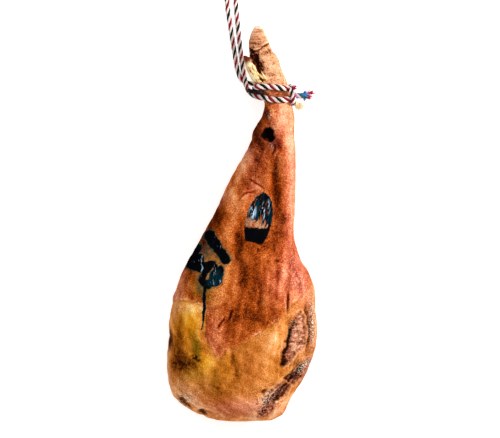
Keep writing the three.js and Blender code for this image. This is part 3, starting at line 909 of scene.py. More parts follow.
def shaded(tree, base, shares):  # moved by masks, which have the names of the shares
    for name, share in shares.items():
        base = plus(tree, base, mask(tree, name), share)
    return base


def paintHam():
    paint, tree, shader = newPaint("hamPaint")
    textures = hamTextures(tree)
    wander = times(tree, swing(tree, textures["fine"]), 5.0)
    colour = skinAndFat(tree, textures, wander)
    colour = leanMeat(tree, textures, colour, wander)
    colour = footColour(tree, textures, colour, wander)
    colour = flecked(tree, textures, colour)
    colour, crack = cracked(tree, textures, colour)
    colour, hole = stainsAndHoleShade(tree, textures, colour, wander)
    ink, inkColour = inkOn(tree, textures, wander)
    setInputs(tree, shader, {
        "Base Color": blend(tree, ink, colour, inkColour),
        "Roughness": plus(tree, remap(tree, textures["fine"], 0.3, 0.7, *hamPaint["roughness"]), ink, 0.1),
        "Specular IOR Level": greaseOn(tree, textures, ink, hole, crack),
        "Specular Tint": hamPaint["greaseTint"],
        "Normal": grainOn(tree, textures),
    })
    return paint


def skinAndFat(tree, textures, wander):
    lift = shaded(tree, hamPaint["middleTone"], hamPaint["shares"])
    # painted shade in hollows and painted light on rises
    hollow = remap(tree, mask(tree, "hollow"), -0.7, 0.7, -0.7, 0.7)
    lift = plus(tree, lift, hollow, hamPaint["hollowShade"])
    index = toneIndex(tree, textures, lift, hamPaint["contrast"])
    fatIndex = toneIndex(tree, textures, lift, hamPaint["fatContrast"])
    skin = blend(tree, mask(tree, "pink"), toned(tree, index, "skin"), toned(tree, index, "pinkSkin"))
    yellowFat = toned(tree, fatIndex, "yellowFat")
    fat = blend(tree, mask(tree, "yellow"), toned(tree, fatIndex, "fat"), yellowFat)
    fat = blend(tree, mask(tree, "pink"), fat, toned(tree, fatIndex, "pinkSkin"))
    colour = trimmed(tree, textures, skin, fat, wander)
    colour = blend(tree, mask(tree, "green"), colour, toned(tree, index, "greenFat"))
    colour = blend(tree, mask(tree, "grey"), colour, toned(tree, index, "lean"))
    redness = times(tree, mask(tree, "red"), remap(tree, textures["streak"], 0.6, 0.4))
    return blend(tree, redness, colour, hamPaint["redness"], "MULTIPLY")


def trimmed(tree, textures, skin, fat, wander):  # skin above the trim line and fat below it
    trim = plus(tree, mask(tree, "trim"), wander, 0.5)
    colour = blend(tree, remap(tree, trim, -4.2, 3.6), skin, fat)
    broken = remap(tree, textures["broad"], 0.44, 0.58, 0.0, 0.22)
    lip = times(tree, band(tree, trim, -3.5, -0.6, -0.4, 1.0), broken)
    colour = blend(tree, lip, colour, hamPaint["flap"])
    # a painted highlight along the fat's side of the trim line
    rim = times(tree, band(tree, trim, 0.4, 1.8, 2.4, 6.0), remap(tree, wander, -0.3, 0.5, 0.0, 0.14))
    return blend(tree, rim, colour, hamPaint["fatEdgeHighlight"])


def leanMeat(tree, textures, colour, wander):
    depth = plus(tree, mask(tree, "lean"), wander, 1.8)
    index = toneIndex(tree, textures, hamPaint["leanTone"], hamPaint["leanContrast"])
    index = shaded(tree, index, hamPaint["leanShares"])
    # painted shade just inside the sunken edge of the bare meat
    edge = remap(tree, depth, 2.4, 0.4, 0.0, 0.12)
    lean = toned(tree, calc(tree, "SUBTRACT", index, edge), "lean")
    # a painted highlight on the fat round the bare meat
    broken = remap(tree, textures["broad"], 0.48, 0.58, 0.0, 0.4)
    border = times(tree, band(tree, depth, -5.0, -1.8, -1.2, 0.0), broken)
    colour = blend(tree, border, colour, hamPaint["leanEdgeHighlight"])
    return blend(tree, remap(tree, depth, -3.4, 3.4, 0.0, 0.9), colour, lean)


def footColour(tree, textures, colour, wander):
    base = shaded(tree, hamPaint["footTone"], hamPaint["footShares"])
    colour = pasternOver(tree, textures, colour, wander, base)
    colour = hornOver(tree, textures, colour, wander, base)
    return dewclawsOver(tree, textures, colour)


def pasternOver(tree, textures, colour, wander, base):
    pastern = toned(tree, toneIndex(tree, textures, base, hamPaint["footContrast"]), "pastern")
    dots = addNode(tree, "ShaderNodeTexVoronoi", {"Vector": textures["place"], "Scale": 190.0})
    pores = remap(tree, dots.outputs["Distance"], 0.3, 0.18)
    pores = times(tree, pores, remap(tree, textures["fine"], 0.5, 0.6), 0.8)
    pastern = blend(tree, pores, pastern, hamPaint["flap"])
    height = plus(tree, mask(tree, "horn"), wander, 2.4)
    return blend(tree, remap(tree, height, -92.0, -72.0), colour, pastern)


def hornOver(tree, textures, colour, wander, base):
    horn = plus(tree, mask(tree, "horn"), wander, 0.25)
    rings = noise(tree, scaled(tree, textures["place"], (0.35, 2.0, 0.6)), 120, 5, 0.6, 0.5)
    index = plus(tree, base, swing(tree, rings), 1.6)
    index = calc(tree, "ADD", index, hamPaint["hornDarker"])
    index = toneIndex(tree, textures, index, hamPaint["hornContrast"])
    index = plus(tree, index, band(tree, horn, 0.6, 1.6, 2.6, 5.0), 0.16)
    colour = blend(tree, remap(tree, horn, -0.6, 0.8), colour, toned(tree, index, "horn"))
    patchy = remap(tree, textures["fine"], 0.42, 0.56, 0.25, 0.9)
    return blend(tree, times(tree, band(tree, horn, -3.0, -1.2, -0.4, 0.5), patchy), colour, hamPaint["flap"])


def dewclawsOver(tree, textures, colour):
    turned = {
        "Vector": textures["place"],
        "Rotation": (0.0, 0.0, math.radians(34)),
        "Scale": (0.7, 3.4, 1.4),
    }
    turned = addNode(tree, "ShaderNodeMapping", turned, vector_type="TEXTURE").outputs[0]
    ribs = noise(tree, turned, 230, 4, 0.6, 0.5)
    index = plus(tree, hamPaint["dewclawTone"], swing(tree, ribs), 3.6)
    dewclaw = toned(tree, shaded(tree, index, hamPaint["dewclawShares"]), "dewclaw")
    dewclaw = blend(tree, remap(tree, mask(tree, "dewTip"), 0.62, 0.82), dewclaw, hamPaint["tip"])
    return blend(tree, remap(tree, mask(tree, "dew"), -0.5, 1.5), colour, dewclaw)


def flecked(tree, textures, colour):  # pale flecks, many of them painted highlights, and dark specks
    flecks = times(tree, mask(tree, "paleFlecksAndGlints"), remap(tree, textures["speck"], 0.53, 0.58))
    colour = blend(tree, flecks, colour, hamPaint["paleFlecksAndGlints"])
    specks = times(tree, mask(tree, "rough"), remap(tree, textures["fine"], 0.5, 0.42), 0.85)
    return blend(tree, specks, colour, hamPaint["crack"])


def cracked(tree, textures, colour):  # painted shade in the cracks and pits, broken up by the specks
    crack = times(tree, mask(tree, "crack"), remap(tree, textures["speck"], 0.4, 0.58, 0.2, 1.2))
    pit = times(tree, mask(tree, "pit"), remap(tree, textures["speck"], 0.36, 0.52, 0.3, 1.3))
    crack = calc(tree, "ADD", crack, pit)
    return blend(tree, remap(tree, crack, 0.3, 2.2, 0.0, 0.85), colour, hamPaint["crack"]), crack


def stainsAndHoleShade(tree, textures, colour, wander):  # brown stains, partly painted shade between the rope's turns, and painted shade in the hole: brown at its edge and black inside
    stain = times(tree, mask(tree, "brownStainAndShade"), remap(tree, textures["fine"], 0.42, 0.56, 0.2, 0.9))
    colour = blend(tree, stain, colour, hamPaint["brownStainAndShade"])
    # painted shade in the hole at the hock: brown on its sloping edge, black deeper in
    hole = times(tree, mask(tree, "hole"), plus(tree, 1.0, wander, 0.55))
    colour = blend(tree, remap(tree, hole, 0.02, 0.35, 0.0, 0.85), colour, hamPaint["brownStainAndShade"])
    return blend(tree, remap(tree, hole, 0.3, 0.6), colour, hamPaint["hole"]), hole


def greaseOn(tree, textures, ink, hole, crack):  # a slight shine, less on ink and in dark places
    grease = remap(tree, textures["broad"], 0.5, 0.64, 0.0, hamPaint["grease"])
    dull = plus(tree, calc(tree, "ADD", hole, mask(tree, "darkToneAndShade")), crack, 0.3)
    return times(tree, grease, plus(tree, 1.0, ink, -0.95), remap(tree, dull, 0.6, 0.1))


def grainOn(tree, textures):
    height = 0.0
    for name, share in hamPaint["bumps"].items():
        height = plus(tree, height, textures[name], share)
    size = {"Height": height, "Distance": hamPaint["grainHeight"] * mm, "Strength": 1.0}
    return addNode(tree, "ShaderNodeBump", size).outputs[0]


def spotAt(tree, coordinates, spot, unit=mm):  # a soft round spot, from its middle and how far it reaches
    middle, reach = spot
    inputs = {0: coordinates, 1: [value * unit for value in middle]}
    away = addNode(tree, "ShaderNodeVectorMath", inputs, operation="DISTANCE").outputs[1]
    return remap(tree, away, reach * unit, reach * unit * 0.4)


def inkOn(tree, textures, wander):  # how much ink lies at a place, and its colour
    oval = ovalInk(tree, textures, wander)
    blot = plus(tree, mask(tree, "blot"), wander, 1.1)
    blots = times(tree, remap(tree, blot, -0.6, 0.6), remap(tree, textures["fine"], 0.3, 0.34, 0.7))
    ink = largest(tree, oval["ink"], blots, thinInk(tree, textures, blot), oval["bare"])
    return times(tree, ink, mask(tree, "shown")), inkTones(tree, textures, oval, blot)


def ovalInk(tree, textures, wander):  # full at its right rim and its foot, streaky above, bare between
    form = inkForm["oval"]
    (x, y), foot = form["middle"], form["foot"]
    placed = {
        "Vector": textures["place"],
        "Location": (x * mm, y * mm, 0.0),
        "Rotation": (0.0, 0.0, -math.radians(form["turn"])),
        "Scale": (form["halfWidth"] * mm, form["halfLength"] * mm, 1.0),
    }
    centred = addNode(tree, "ShaderNodeMapping", placed, vector_type="TEXTURE").outputs[0]
    axes = addNode(tree, "ShaderNodeSeparateXYZ", {0: centred})
    across, along = axes.outputs[0], axes.outputs[1]
    squares = calc(tree, "ADD", calc(tree, "POWER", across, 2.0), calc(tree, "POWER", along, 2.0))
    ragged = plus(tree, calc(tree, "SQRT", squares), wander, 0.045)
    height = plus(tree, along, wander, 0.05)
    inside = times(tree, remap(tree, ragged, 1.03, 0.97), remap(tree, height, foot - 0.02, foot + 0.03))
    streaks = noise(tree, scaled(tree, centred, (2.6, 1.0, 0.0)), 1.9, 5, 0.6, 0.8)
    drawn = plus(tree, along, swing(tree, streaks), 1.3)
    rim = plus(tree, ragged, across, 0.16)
    ink = largest(
        tree,
        times(tree, remap(tree, rim, 0.84, 0.9), remap(tree, across, -0.9, -0.2)),
        times(tree, remap(tree, drawn, -0.02, 0.06), remap(tree, streaks, 0.34, 0.41)),
        remap(tree, plus(tree, height, across, -0.09), -0.19, -0.25),
        times(tree, remap(tree, textures["speck"], 0.56, 0.6), 0.85),
    )
    bare = times(tree, remap(tree, height, -0.3, -0.2), inside, remap(tree, streaks, 0.36, 0.56, 0.2, 0.75))
    return {
        "ink": times(tree, ink, inside),
        "bare": bare,
        "along": along,
        "streaks": streaks,
        "centred": centred,
    }


def thinInk(tree, textures, blot):  # a halo round the blots, and two thin spots
    halo = times(tree, remap(tree, blot, -5.0, -0.8), remap(tree, textures["fine"], 0.4, 0.62, 0.2, 0.7))
    onward = addNode(tree, "ShaderNodeSeparateXYZ", {0: textures["place"]}).outputs[1]
    low, high = inkForm["haloFrom"]
    halo = times(tree, halo, remap(tree, onward, low * mm, high * mm))
    spots = [spotAt(tree, textures["place"], spot) for spot in inkForm["thinSpots"]]
    spots = times(tree, largest(tree, *spots), remap(tree, textures["fine"], 0.36, 0.6, 0.25, 0.75))
    return largest(tree, halo, spots)


def inkTones(tree, textures, oval, blot):  # black, greenish at its edges, teal where it is thin, and with painted glints
    streaks = oval["streaks"]
    atEdge = times(tree, band(tree, blot, -18.0, -14.0, -0.4, 1.6), 0.75)
    colour = blend(tree, atEdge, hamPaint["ink"], hamPaint["moss"])
    bare = times(tree, oval["bare"], calc(tree, "SUBTRACT", 1.0, oval["ink"]))
    colour = blend(tree, bare, colour, hamPaint["bareSkin"])
    smear = spotAt(tree, textures["place"], inkForm["smear"])
    smear = times(tree, smear, remap(tree, streaks, 0.4, 0.5), 0.8)
    colour = blend(tree, smear, colour, hamPaint["teal"])
    upper = times(tree, remap(tree, oval["along"], -0.1, 0.15), oval["ink"])
    teal = times(tree, remap(tree, streaks, 0.48, 0.58, 0.0, 0.9), upper)
    colour = blend(tree, teal, colour, hamPaint["teal"])
    # painted glints on the oval's ink and on the blots
    glints = [spotAt(tree, oval["centred"], spot, 1.0) for spot in inkForm["glints"]]
    shine = times(tree, largest(tree, *glints), remap(tree, streaks, 0.5, 0.58), upper)
    patchy = noise(tree, scaled(tree, textures["place"], (1.6, 0.7, 0.0)), 75, 3, 0.5, 1.2)
    blotShine = times(tree, remap(tree, patchy, 0.62, 0.68, 0.0, 0.6), remap(tree, blot, 1.0, 3.0))
    return blend(tree, largest(tree, shine, blotShine), colour, hamPaint["sheen"])


# The rope

ropeForm = {
    "turnRadius": 5.3,
    "loopRadius": 4.3,
    "turnLay": 27,  # how much rope one turn of its strands takes
    "loopLay": 35,
    "settle": 45,  # how far into the loop the wound rope's size reaches
    "strands": 4,
    "strandOffset": 0.56,  # shares of the rope's own radius
    "strandRadius": 0.47,
    "sides": 12,
    "step": 1.2,
    "bite": 0.9,  # how deep the wound rope sinks into the skin
    "evenings": 3,  # how often the skin's small bumps are evened out of its route
    "follows": 30,  # how far into the loop it still follows the skin
    "pressReach": 9,  # how far from the wound rope its groove in the skin is looked for
    "pressGap": 0.1,
    # the middle line, from the knot over the leg, round the free loop, and back round the leg
    "lowerPass": [
        (90.5, 390.7, 59.8), (85.4, 388.9, 68.5), (75.6, 387.0, 74.7), (62.5, 386.7, 76.9),
        (50.7, 387.2, 75.8), (44.4, 388.3, 72.4),
    ],
    "looseLoop": [
        (38, 390, 69.8), (27, 392, 64), (16.5, 397, 54.5), (9.5, 405, 42), (5.5, 415, 28.5),
        (3, 427.5, 16), (0.5, 441, 8.5), (-2, 456, 5), (-4, 474, 4.6), (-6, 491, 4.6), (-8, 510, 4.6),
        (-10, 530, 4.6), (-12, 551, 4.6), (-13, 570, 4.6), (-10, 587, 4.6), (-4, 602, 4.6),
        (-1, 617, 4.6), (-5, 633, 4.6), (-20, 643, 4.6), (-36, 633, 4.6), (-41, 617, 4.6),
        (-38, 602, 4.6), (-32, 587, 4.6), (-29, 570, 4.6), (-27.5, 551, 4.6), (-24, 530, 4.6),
        (-21, 510, 4.6), (-18, 491, 4.6), (-15, 472, 4.6), (-12, 453, 4.6), (-8.5, 438, 5.6),
        (-3, 426.5, 9.5), (6, 420.5, 14), (18, 418, 18), (32, 418, 21),
    ],
    "upperTurn": [
        (45.0, 416.5, 24.8), (63.5, 414.9, 25.4), (80.2, 412.9, 32.4), (87.3, 409.3, 47.8),
        (84.0, 407.3, 65.4), (72.7, 407.4, 74.9), (55.5, 408.8, 77.8), (36.6, 410.1, 74.8),
        (25.1, 409.6, 68.1), (21.1, 408.7, 59.3), (21.9, 406.4, 48.0), (27.0, 403.2, 38.6),
        (37.3, 400.3, 30.1), (52.6, 398.0, 25.5), (73.0, 395.1, 26.3), (85.4, 392.6, 32.6),
        (91.0, 391.3, 42.4), (91.8, 390.8, 52.1),
    ],
}

# the short ends: their middle lines, sizes and yarns, and over what length each end of them tapers
ropeEnds = {
    "knot": {
        "line": [(85.0, 408.5, 77.6), (87.0, 402.2, 76.4),
                 (89.8, 393.2, 75.8), (90.5, 383.8, 73.6), (88.7, 378.2, 70.4)],
        "radius": 4.75, "lay": 25, "yarns": 0, "tips": (7, 7),
    },
    "blue": {
        "line": [(88, 397, 71), (99, 394, 67), (110, 394.5, 62), (119, 397, 58)],
        "radius": 5.2, "lay": 30, "yarns": 1, "tips": (2, 12),
    },
    "pale": {
        "line": [(87, 388, 71), (94, 381.5, 66), (99, 377, 62)],
        "radius": 5.0, "lay": 32, "yarns": 2, "tips": (2, 9),
    },
    # a dark end that stands in for the shade under the knot
    "shadowStrandUnderKnot": {
        "line": [(86, 392, 66), (90, 384, 61), (93, 377, 57)],
        "radius": 4.2, "lay": 28, "yarns": 3, "tips": (2, 5),
    },
    # a dark end that stands in for the shade between the turns
    "shadowStrand": {
        "line": [(9, 405, 46), (17, 402, 56), (26, 400.5, 64), (38, 399.5, 70)],
        "radius": 4.3, "lay": 30, "yarns": 3, "tips": (2, 6),
    },
}

# loose fibres: where they start, how they stand out, and their yarn
frays = [
    {"from": (115, 397, 60), "spread": 2.0, "aim": (0.86, 0.3, 0.0), "fan": 0.22, "reach": (9, 16),
     "count": 22, "yarn": 8, "girth": 1.9},
    {"from": (115, 394, 60), "spread": 2.0, "aim": (0.7, -0.6, 0.1), "fan": 0.25, "reach": (7, 12),
     "count": 14, "yarn": 8, "girth": 1.7},
    {"from": (110, 396, 62), "spread": 3.8, "aim": (0.6, 0.5, 0.2), "fan": 0.6, "reach": (4, 8),
     "count": 70, "yarn": 4},
    {"from": (110, 391, 61), "spread": 3.6, "aim": (0.5, -0.6, 0.2), "fan": 0.6, "reach": (3, 7),
     "count": 50, "yarn": 5},
    {"from": (100, 376.5, 60), "spread": 5.0, "aim": (0.4, -0.3, 0.2), "fan": 0.8, "reach": (4, 9),
     "count": 260, "yarn": 10},
    {"from": (89, 407, 76), "spread": 3.0, "aim": (0.9, 0.5, 0.1), "fan": 0.4, "reach": (3, 8),
     "count": 50, "yarn": 8, "girth": 1.2},
]
fibreForm = {"radius": 0.5, "curl": 7.0, "curlSize": 150.0, "curlSeed": 3.0, "rootSeed": 12}


def smoothRun(places, step):  # even steps along a centripetal spline through the places
    p = np.asarray(places, float)
    p = np.vstack([2 * p[0] - p[1], p, 2 * p[-1] - p[-2]])
    line = []
    for a, b, c, d in zip(p, p[1:], p[2:], p[3:]):
        t0 = 0.0
        t1 = t0 + math.sqrt(np.linalg.norm(b - a))
        t2 = t1 + math.sqrt(np.linalg.norm(c - b))
        t3 = t2 + math.sqrt(np.linalg.norm(d - c))
        for t in np.linspace(t1, t2, 40, endpoint=False):
            ab = (t1 - t) / (t1 - t0) * a + (t - t0) / (t1 - t0) * b
            bc = (t2 - t) / (t2 - t1) * b + (t - t1) / (t2 - t1) * c
            cd = (t3 - t) / (t3 - t2) * c + (t - t2) / (t3 - t2) * d
            abc = (t2 - t) / (t2 - t0) * ab + (t - t0) / (t2 - t0) * bc
            bcd = (t3 - t) / (t3 - t1) * bc + (t - t1) / (t3 - t1) * cd
            line.append((t2 - t) / (t2 - t1) * abc + (t - t1) / (t2 - t1) * bcd)
    line.append(p[-2])
    return evenSteps(np.array(line), step)


def evenSteps(line, step):
    reach = alongRun(line)
    stops = np.linspace(0, reach[-1], max(4, round(reach[-1] / step)))
    return np.stack([np.interp(stops, reach, line[:, axis]) for axis in range(3)], axis=1)


def carriedSides(points):  # a side direction that is carried along the line without twisting
    onward = np.gradient(points, axis=0)
    onward /= np.linalg.norm(onward, axis=1)[:, None]
    side = np.empty_like(points)
    side[0] = np.cross(onward[0], (0.31, 0.47, 0.83))
    side[0] /= np.linalg.norm(side[0])
    for i in range(1, len(points)):
        carried = side[i - 1] - onward[i] * (side[i - 1] @ onward[i])
        side[i] = carried / np.linalg.norm(carried)
    return onward, side


def skinTree(thing):
    mesh = thing.data
    places = [v.co / mm for v in mesh.vertices]
    return BVHTree.FromPolygons(places, [tuple(p.vertices) for p in mesh.polygons])


def ropeRoute(skin):  # the middle line, laid on the visual skin where it is wound round the leg
    form = ropeForm
    guide = smoothRun(form["lowerPass"] + form["looseLoop"] + form["upperTurn"], form["step"])
    reach = alongRun(guide)
    leaves = reach[np.argmin(np.linalg.norm(guide - form["lowerPass"][-1], axis=1))]
    returns = reach[np.argmin(np.linalg.norm(guide - form["upperTurn"][0], axis=1))]
    inLoop = np.clip(np.minimum(reach - leaves, returns - reach), 0, None)
    shift = np.zeros_like(guide)
    for i in np.nonzero(inLoop == 0)[0]:
        place, normal, _, _ = skin.find_nearest(Vector(guide[i]))
        shift[i] = np.array(place + normal * (form["turnRadius"] - form["bite"])) - guide[i]
    first, last = np.nonzero(inLoop > 0)[0][[0, -1]]
    middle = (first + last) // 2
    shift[first : middle + 1] = shift[first - 1]
    shift[middle + 1 : last + 1] = shift[last + 1]
    for _ in range(form["evenings"]):
        shift[1:-1] = (shift[:-2] + 2 * shift[1:-1] + shift[2:]) / 4
    points = guide + shift * (1 - smoothStep(0, form["follows"], inLoop))[:, None]
    return points, inLoop


def ropeRun(points, thick, lay, yarns, tips=(0.05, 0.05)):
    reach = alongRun(points)
    onward, side = carriedSides(points)
    turn = 2 * math.pi * np.diff(reach) / (lay[1:] * 0.5 + lay[:-1] * 0.5)
    turn = np.concatenate([[0], np.cumsum(turn)])
    start = np.clip(reach / tips[0], 0, 1)
    end = np.clip((reach[-1] - reach) / tips[1], 0, 1)
    return {
        "points": points,
        "onward": onward,
        "side": side,
        "thick": thick * mm,
        "phase": turn,
        "along": reach,
        "body": np.sqrt(np.clip(start * end, 0, 1)),
        "yarns": np.full(len(points), float(yarns)),
    }


def cutRun(run, keep):
    return {key: values[keep] for key, values in run.items()}


def closedEnds(run):  # adds a last ring of no size at each end, so that the strands are closed
    ends = {}
    for key, values in run.items():
        ends[key] = np.concatenate([values[:1], values, values[-1:]])
    ends["points"][0] -= run["onward"][0] * 0.03
    ends["points"][-1] += run["onward"][-1] * 0.03
    ends["body"][[0, -1]] = 0
    return ends


def railObject(name, runs):
    mesh = bpy.data.meshes.new(name)
    edges, start = [], 0
    for run in runs:
        edges += [(start + i, start + i + 1) for i in range(len(run["points"]) - 1)]
        start += len(run["points"])
    whole = {key: np.concatenate([run[key] for run in runs]) for key in runs[0]}
    mesh.from_pydata((whole["points"] * mm).tolist(), edges, [])
    for key in ("thick", "phase", "along", "body", "yarns"):
        storeMask(mesh, key, whole[key])
    for key in ("onward", "side"):
        storeVectors(mesh, key, whole[key])
    return newObject(name, mesh)


def newTree(name, sizes):  # a node tree with a geometry socket and one named socket for each size
    tree = bpy.data.node_groups.new(name, "GeometryNodeTree")
    tree.interface.new_socket("Geometry", in_out="INPUT", socket_type="NodeSocketGeometry")
    tree.interface.new_socket("Geometry", in_out="OUTPUT", socket_type="NodeSocketGeometry")
    for label, kind in sizes.items():
        tree.interface.new_socket(label, in_out="INPUT", socket_type="NodeSocket" + kind)
    return tree, addNode(tree, "NodeGroupInput").outputs, addNode(tree, "NodeGroupOutput")


def grown(thing, tree, sizes, name):  # what the tree makes of the thing, as a plain mesh
    modifier = thing.modifiers.new(tree.name, "NODES")
    modifier.node_group = tree
    for socket in tree.interface.items_tree:
        if socket.name in sizes:
            modifier[socket.identifier] = sizes[socket.name]
    mesh = bakedMesh(thing, name)
    bpy.data.objects.remove(thing)
    return mesh


def named(tree, name, kind="FLOAT"):
    return addNode(tree, "GeometryNodeInputNamedAttribute", {"Name": name}, data_type=kind).outputs[0]


def stored(tree, geometry, name, value, kind="FLOAT", domain="POINT"):
    inputs = {"Geometry": geometry, "Name": name, "Value": value}
    made = addNode(tree, "GeometryNodeStoreNamedAttribute", inputs, data_type=kind, domain=domain)
    return made.outputs[0]


def lengthened(tree, direction, length):
    inputs = {0: direction, "Scale": length}
    return addNode(tree, "ShaderNodeVectorMath", inputs, operation="SCALE").outputs[0]


def finished(tree, geometry, paint, end):
    whole = addNode(tree, "GeometryNodeRealizeInstances", {"Geometry": geometry}).outputs[0]
    painted = addNode(tree, "GeometryNodeSetMaterial", {"Geometry": whole, "Material": paint}).outputs[0]
    tree.links.new(painted, end.inputs[0])


def ropeTree(paint):  # lays strands round each rail
    sizes = {"Strands": "Int", "Strand Offset": "Float", "Strand Radius": "Float", "Sides": "Int"}
    tree, given, end = newTree("layStrands", sizes)
    rails = addNode(tree, "GeometryNodeMeshToCurve", {"Mesh": given["Geometry"]}).outputs[0]
    copies = {"Geometry": rails, "Amount": given["Strands"]}
    copies = addNode(tree, "GeometryNodeDuplicateElements", copies, domain="SPLINE")
    strands = stored(tree, copies.outputs[0], "strand", copies.outputs[1])
    share = calc(tree, "DIVIDE", named(tree, "strand"), given["Strands"])
    angle = calc(tree, "MULTIPLY_ADD", share, 2 * math.pi, named(tree, "phase"))
    swung = {
        "Vector": named(tree, "side", "FLOAT_VECTOR"),
        "Axis": named(tree, "onward", "FLOAT_VECTOR"),
        "Angle": angle,
    }
    outward = addNode(tree, "ShaderNodeVectorRotate", swung, rotation_type="AXIS_ANGLE").outputs[0]
    offset = lengthened(tree, outward, times(tree, named(tree, "thick"), given["Strand Offset"]))
    laid = addNode(tree, "GeometryNodeSetPosition", {"Geometry": strands, "Offset": offset}).outputs[0]
    arc = {"Resolution": given["Sides"], "Radius": 1.0, "Sweep Angle": 2 * math.pi}
    ring = addNode(tree, "GeometryNodeCurveArc", arc, mode="RADIUS").outputs[0]
    ring = stored(tree, ring, "around", addNode(tree, "GeometryNodeSplineParameter").outputs["Factor"])
    radius = times(tree, named(tree, "thick"), named(tree, "body"), given["Strand Radius"])
    tube = {"Curve": laid, "Profile Curve": ring, "Scale": radius}
    tube = addNode(tree, "GeometryNodeCurveToMesh", tube).outputs[0]
    place = {0: named(tree, "around"), 1: named(tree, "along")}
    place = addNode(tree, "ShaderNodeCombineXYZ", place).outputs[0]
    tube = stored(tree, tube, "UVMap", place, "FLOAT2", "CORNER")
    tube = addNode(tree, "GeometryNodeMergeByDistance", {"Geometry": tube, "Distance": 0.00001}).outputs[0]
    tube = addNode(tree, "GeometryNodeSetShadeSmooth", {"Geometry": tube}).outputs[0]
    finished(tree, tube, paint, end)
    return tree


def strandsOn(runs, tree, name):
    sizes = {
        "Strands": ropeForm["strands"],
        "Strand Offset": ropeForm["strandOffset"],
        "Strand Radius": ropeForm["strandRadius"],
        "Sides": ropeForm["sides"] + 1,
    }
    return grown(railObject(name + "Rails", [closedEnds(run) for run in runs]), tree, sizes, name)


def fibreTree(paint):  # one curled fibre on each root
    sizes = {"Fibre Radius": "Float", "Curl": "Float", "Curl Size": "Float", "Seed": "Float"}
    tree, given, end = newTree("curlFibres", sizes)
    line = addNode(tree, "GeometryNodeCurvePrimitiveLine", {"End": (0.0, 0.0, 1.0)}).outputs[0]
    line = addNode(tree, "GeometryNodeResampleCurve", {"Curve": line, "Count": 8}).outputs[0]
    line = stored(tree, line, "up", addNode(tree, "GeometryNodeSplineParameter").outputs["Factor"])
    aim = {"Vector": named(tree, "aim", "FLOAT_VECTOR")}
    turned = addNode(tree, "FunctionNodeAlignRotationToVector", aim, axis="Z").outputs[0]
    placed = {
        "Points": given["Geometry"],
        "Instance": line,
        "Rotation": turned,
        "Scale": named(tree, "reach"),
    }
    fibres = addNode(tree, "GeometryNodeInstanceOnPoints", placed).outputs[0]
    fibres = addNode(tree, "GeometryNodeRealizeInstances", {"Geometry": fibres}).outputs[0]
    swirl = {"W": given["Seed"], "Scale": given["Curl Size"], "Detail": 1.0}
    swirl = addNode(tree, "ShaderNodeTexNoise", swirl, noise_dimensions="4D").outputs["Color"]
    swirl = {0: swirl, 1: (0.5, 0.5, 0.5)}
    swirl = addNode(tree, "ShaderNodeVectorMath", swirl, operation="SUBTRACT").outputs[0]
    curl = lengthened(tree, swirl, times(tree, named(tree, "up"), given["Curl"]))
    fibres = addNode(tree, "GeometryNodeSetPosition", {"Geometry": fibres, "Offset": curl}).outputs[0]
    ring = addNode(tree, "GeometryNodeCurvePrimitiveCircle", {"Resolution": 4, "Radius": 1.0}).outputs[0]
    taper = plus(tree, 1.0, named(tree, "up"), -0.7)
    thin = times(tree, given["Fibre Radius"], taper, named(tree, "girth"))
    tube = {"Curve": fibres, "Profile Curve": ring, "Scale": thin, "Fill Caps": True}
    finished(tree, addNode(tree, "GeometryNodeCurveToMesh", tube).outputs[0], paint, end)
    return tree


def fibreRoots():
    draw = np.random.default_rng(fibreForm["rootSeed"])
    roots, aims, reaches, yarns, girths = [], [], [], [], []
    for fray in frays:
        count = fray["count"]
        roots.append(np.array(fray["from"]) + draw.normal(0, fray["spread"] / 2, (count, 3)))
        aims.append(np.array(fray["aim"]) + draw.normal(0, fray["fan"], (count, 3)))
        reaches.append(draw.uniform(*fray["reach"], count))
        yarns.append(np.full(count, fray["yarn"]))
        girths.append(np.full(count, fray.get("girth", 1.0)))
    mesh = bpy.data.meshes.new("fibreRoots")
    mesh.from_pydata((np.concatenate(roots) * mm).tolist(), [], [])
    storeMask(mesh, "reach", np.concatenate(reaches) * mm)
    storeMask(mesh, "strand", np.concatenate(yarns))
    storeMask(mesh, "girth", np.concatenate(girths))
    storeVectors(mesh, "aim", np.concatenate(aims))
    return newObject("fibreRoots", mesh)


ropePaint = {
    # the yarns of the rope, of its blue end, of its pale end and of its two dark ends, four each; the two
    # dark ends stand in for shade
    "yarns": [
        srgb(144, 6, 32), srgb(250, 234, 226), srgb(2, 14, 14), srgb(252, 238, 232),
        srgb(60, 118, 182), srgb(10, 90, 98), srgb(220, 176, 186), srgb(112, 158, 200),
        srgb(200, 30, 76), srgb(248, 226, 178), srgb(250, 230, 186), srgb(244, 220, 170),
        srgb(20, 16, 16), srgb(58, 22, 20), srgb(16, 26, 26), srgb(84, 46, 36),
    ],
    # the colour of dirt, and of the painted shade in the grooves between the yarns
    "dirtAndShade": srgb(112, 70, 48),
    "ropeShadow": srgb(70, 30, 30),
    "ropeShadowSpot": ((14, 398, 52), 26),  # painted shadow on the wound rope by the leg: a middle and a reach
    "yarnTurns": 5.0,
    "yarnPitch": 9.0,  # mm
    "yarnHeight": 0.45,
}


def yarnColour(tree):  # one colour for each strand, from four for each kind of end
    yarns = ropePaint["yarns"]
    number = plus(tree, mask(tree, "strand"), mask(tree, "yarns"), 4.0)
    share = calc(tree, "DIVIDE", calc(tree, "ADD", number, 0.5), float(len(yarns)))
    bands = addNode(tree, "ShaderNodeValToRGB", {0: share})
    bands.color_ramp.interpolation = "CONSTANT"
    while len(bands.color_ramp.elements) < len(yarns):
        bands.color_ramp.elements.new(0.5)
    for i, colour in enumerate(yarns):
        bands.color_ramp.elements[i].position = i / len(yarns)
        bands.color_ramp.elements[i].color = colour
    return bands.outputs[0]


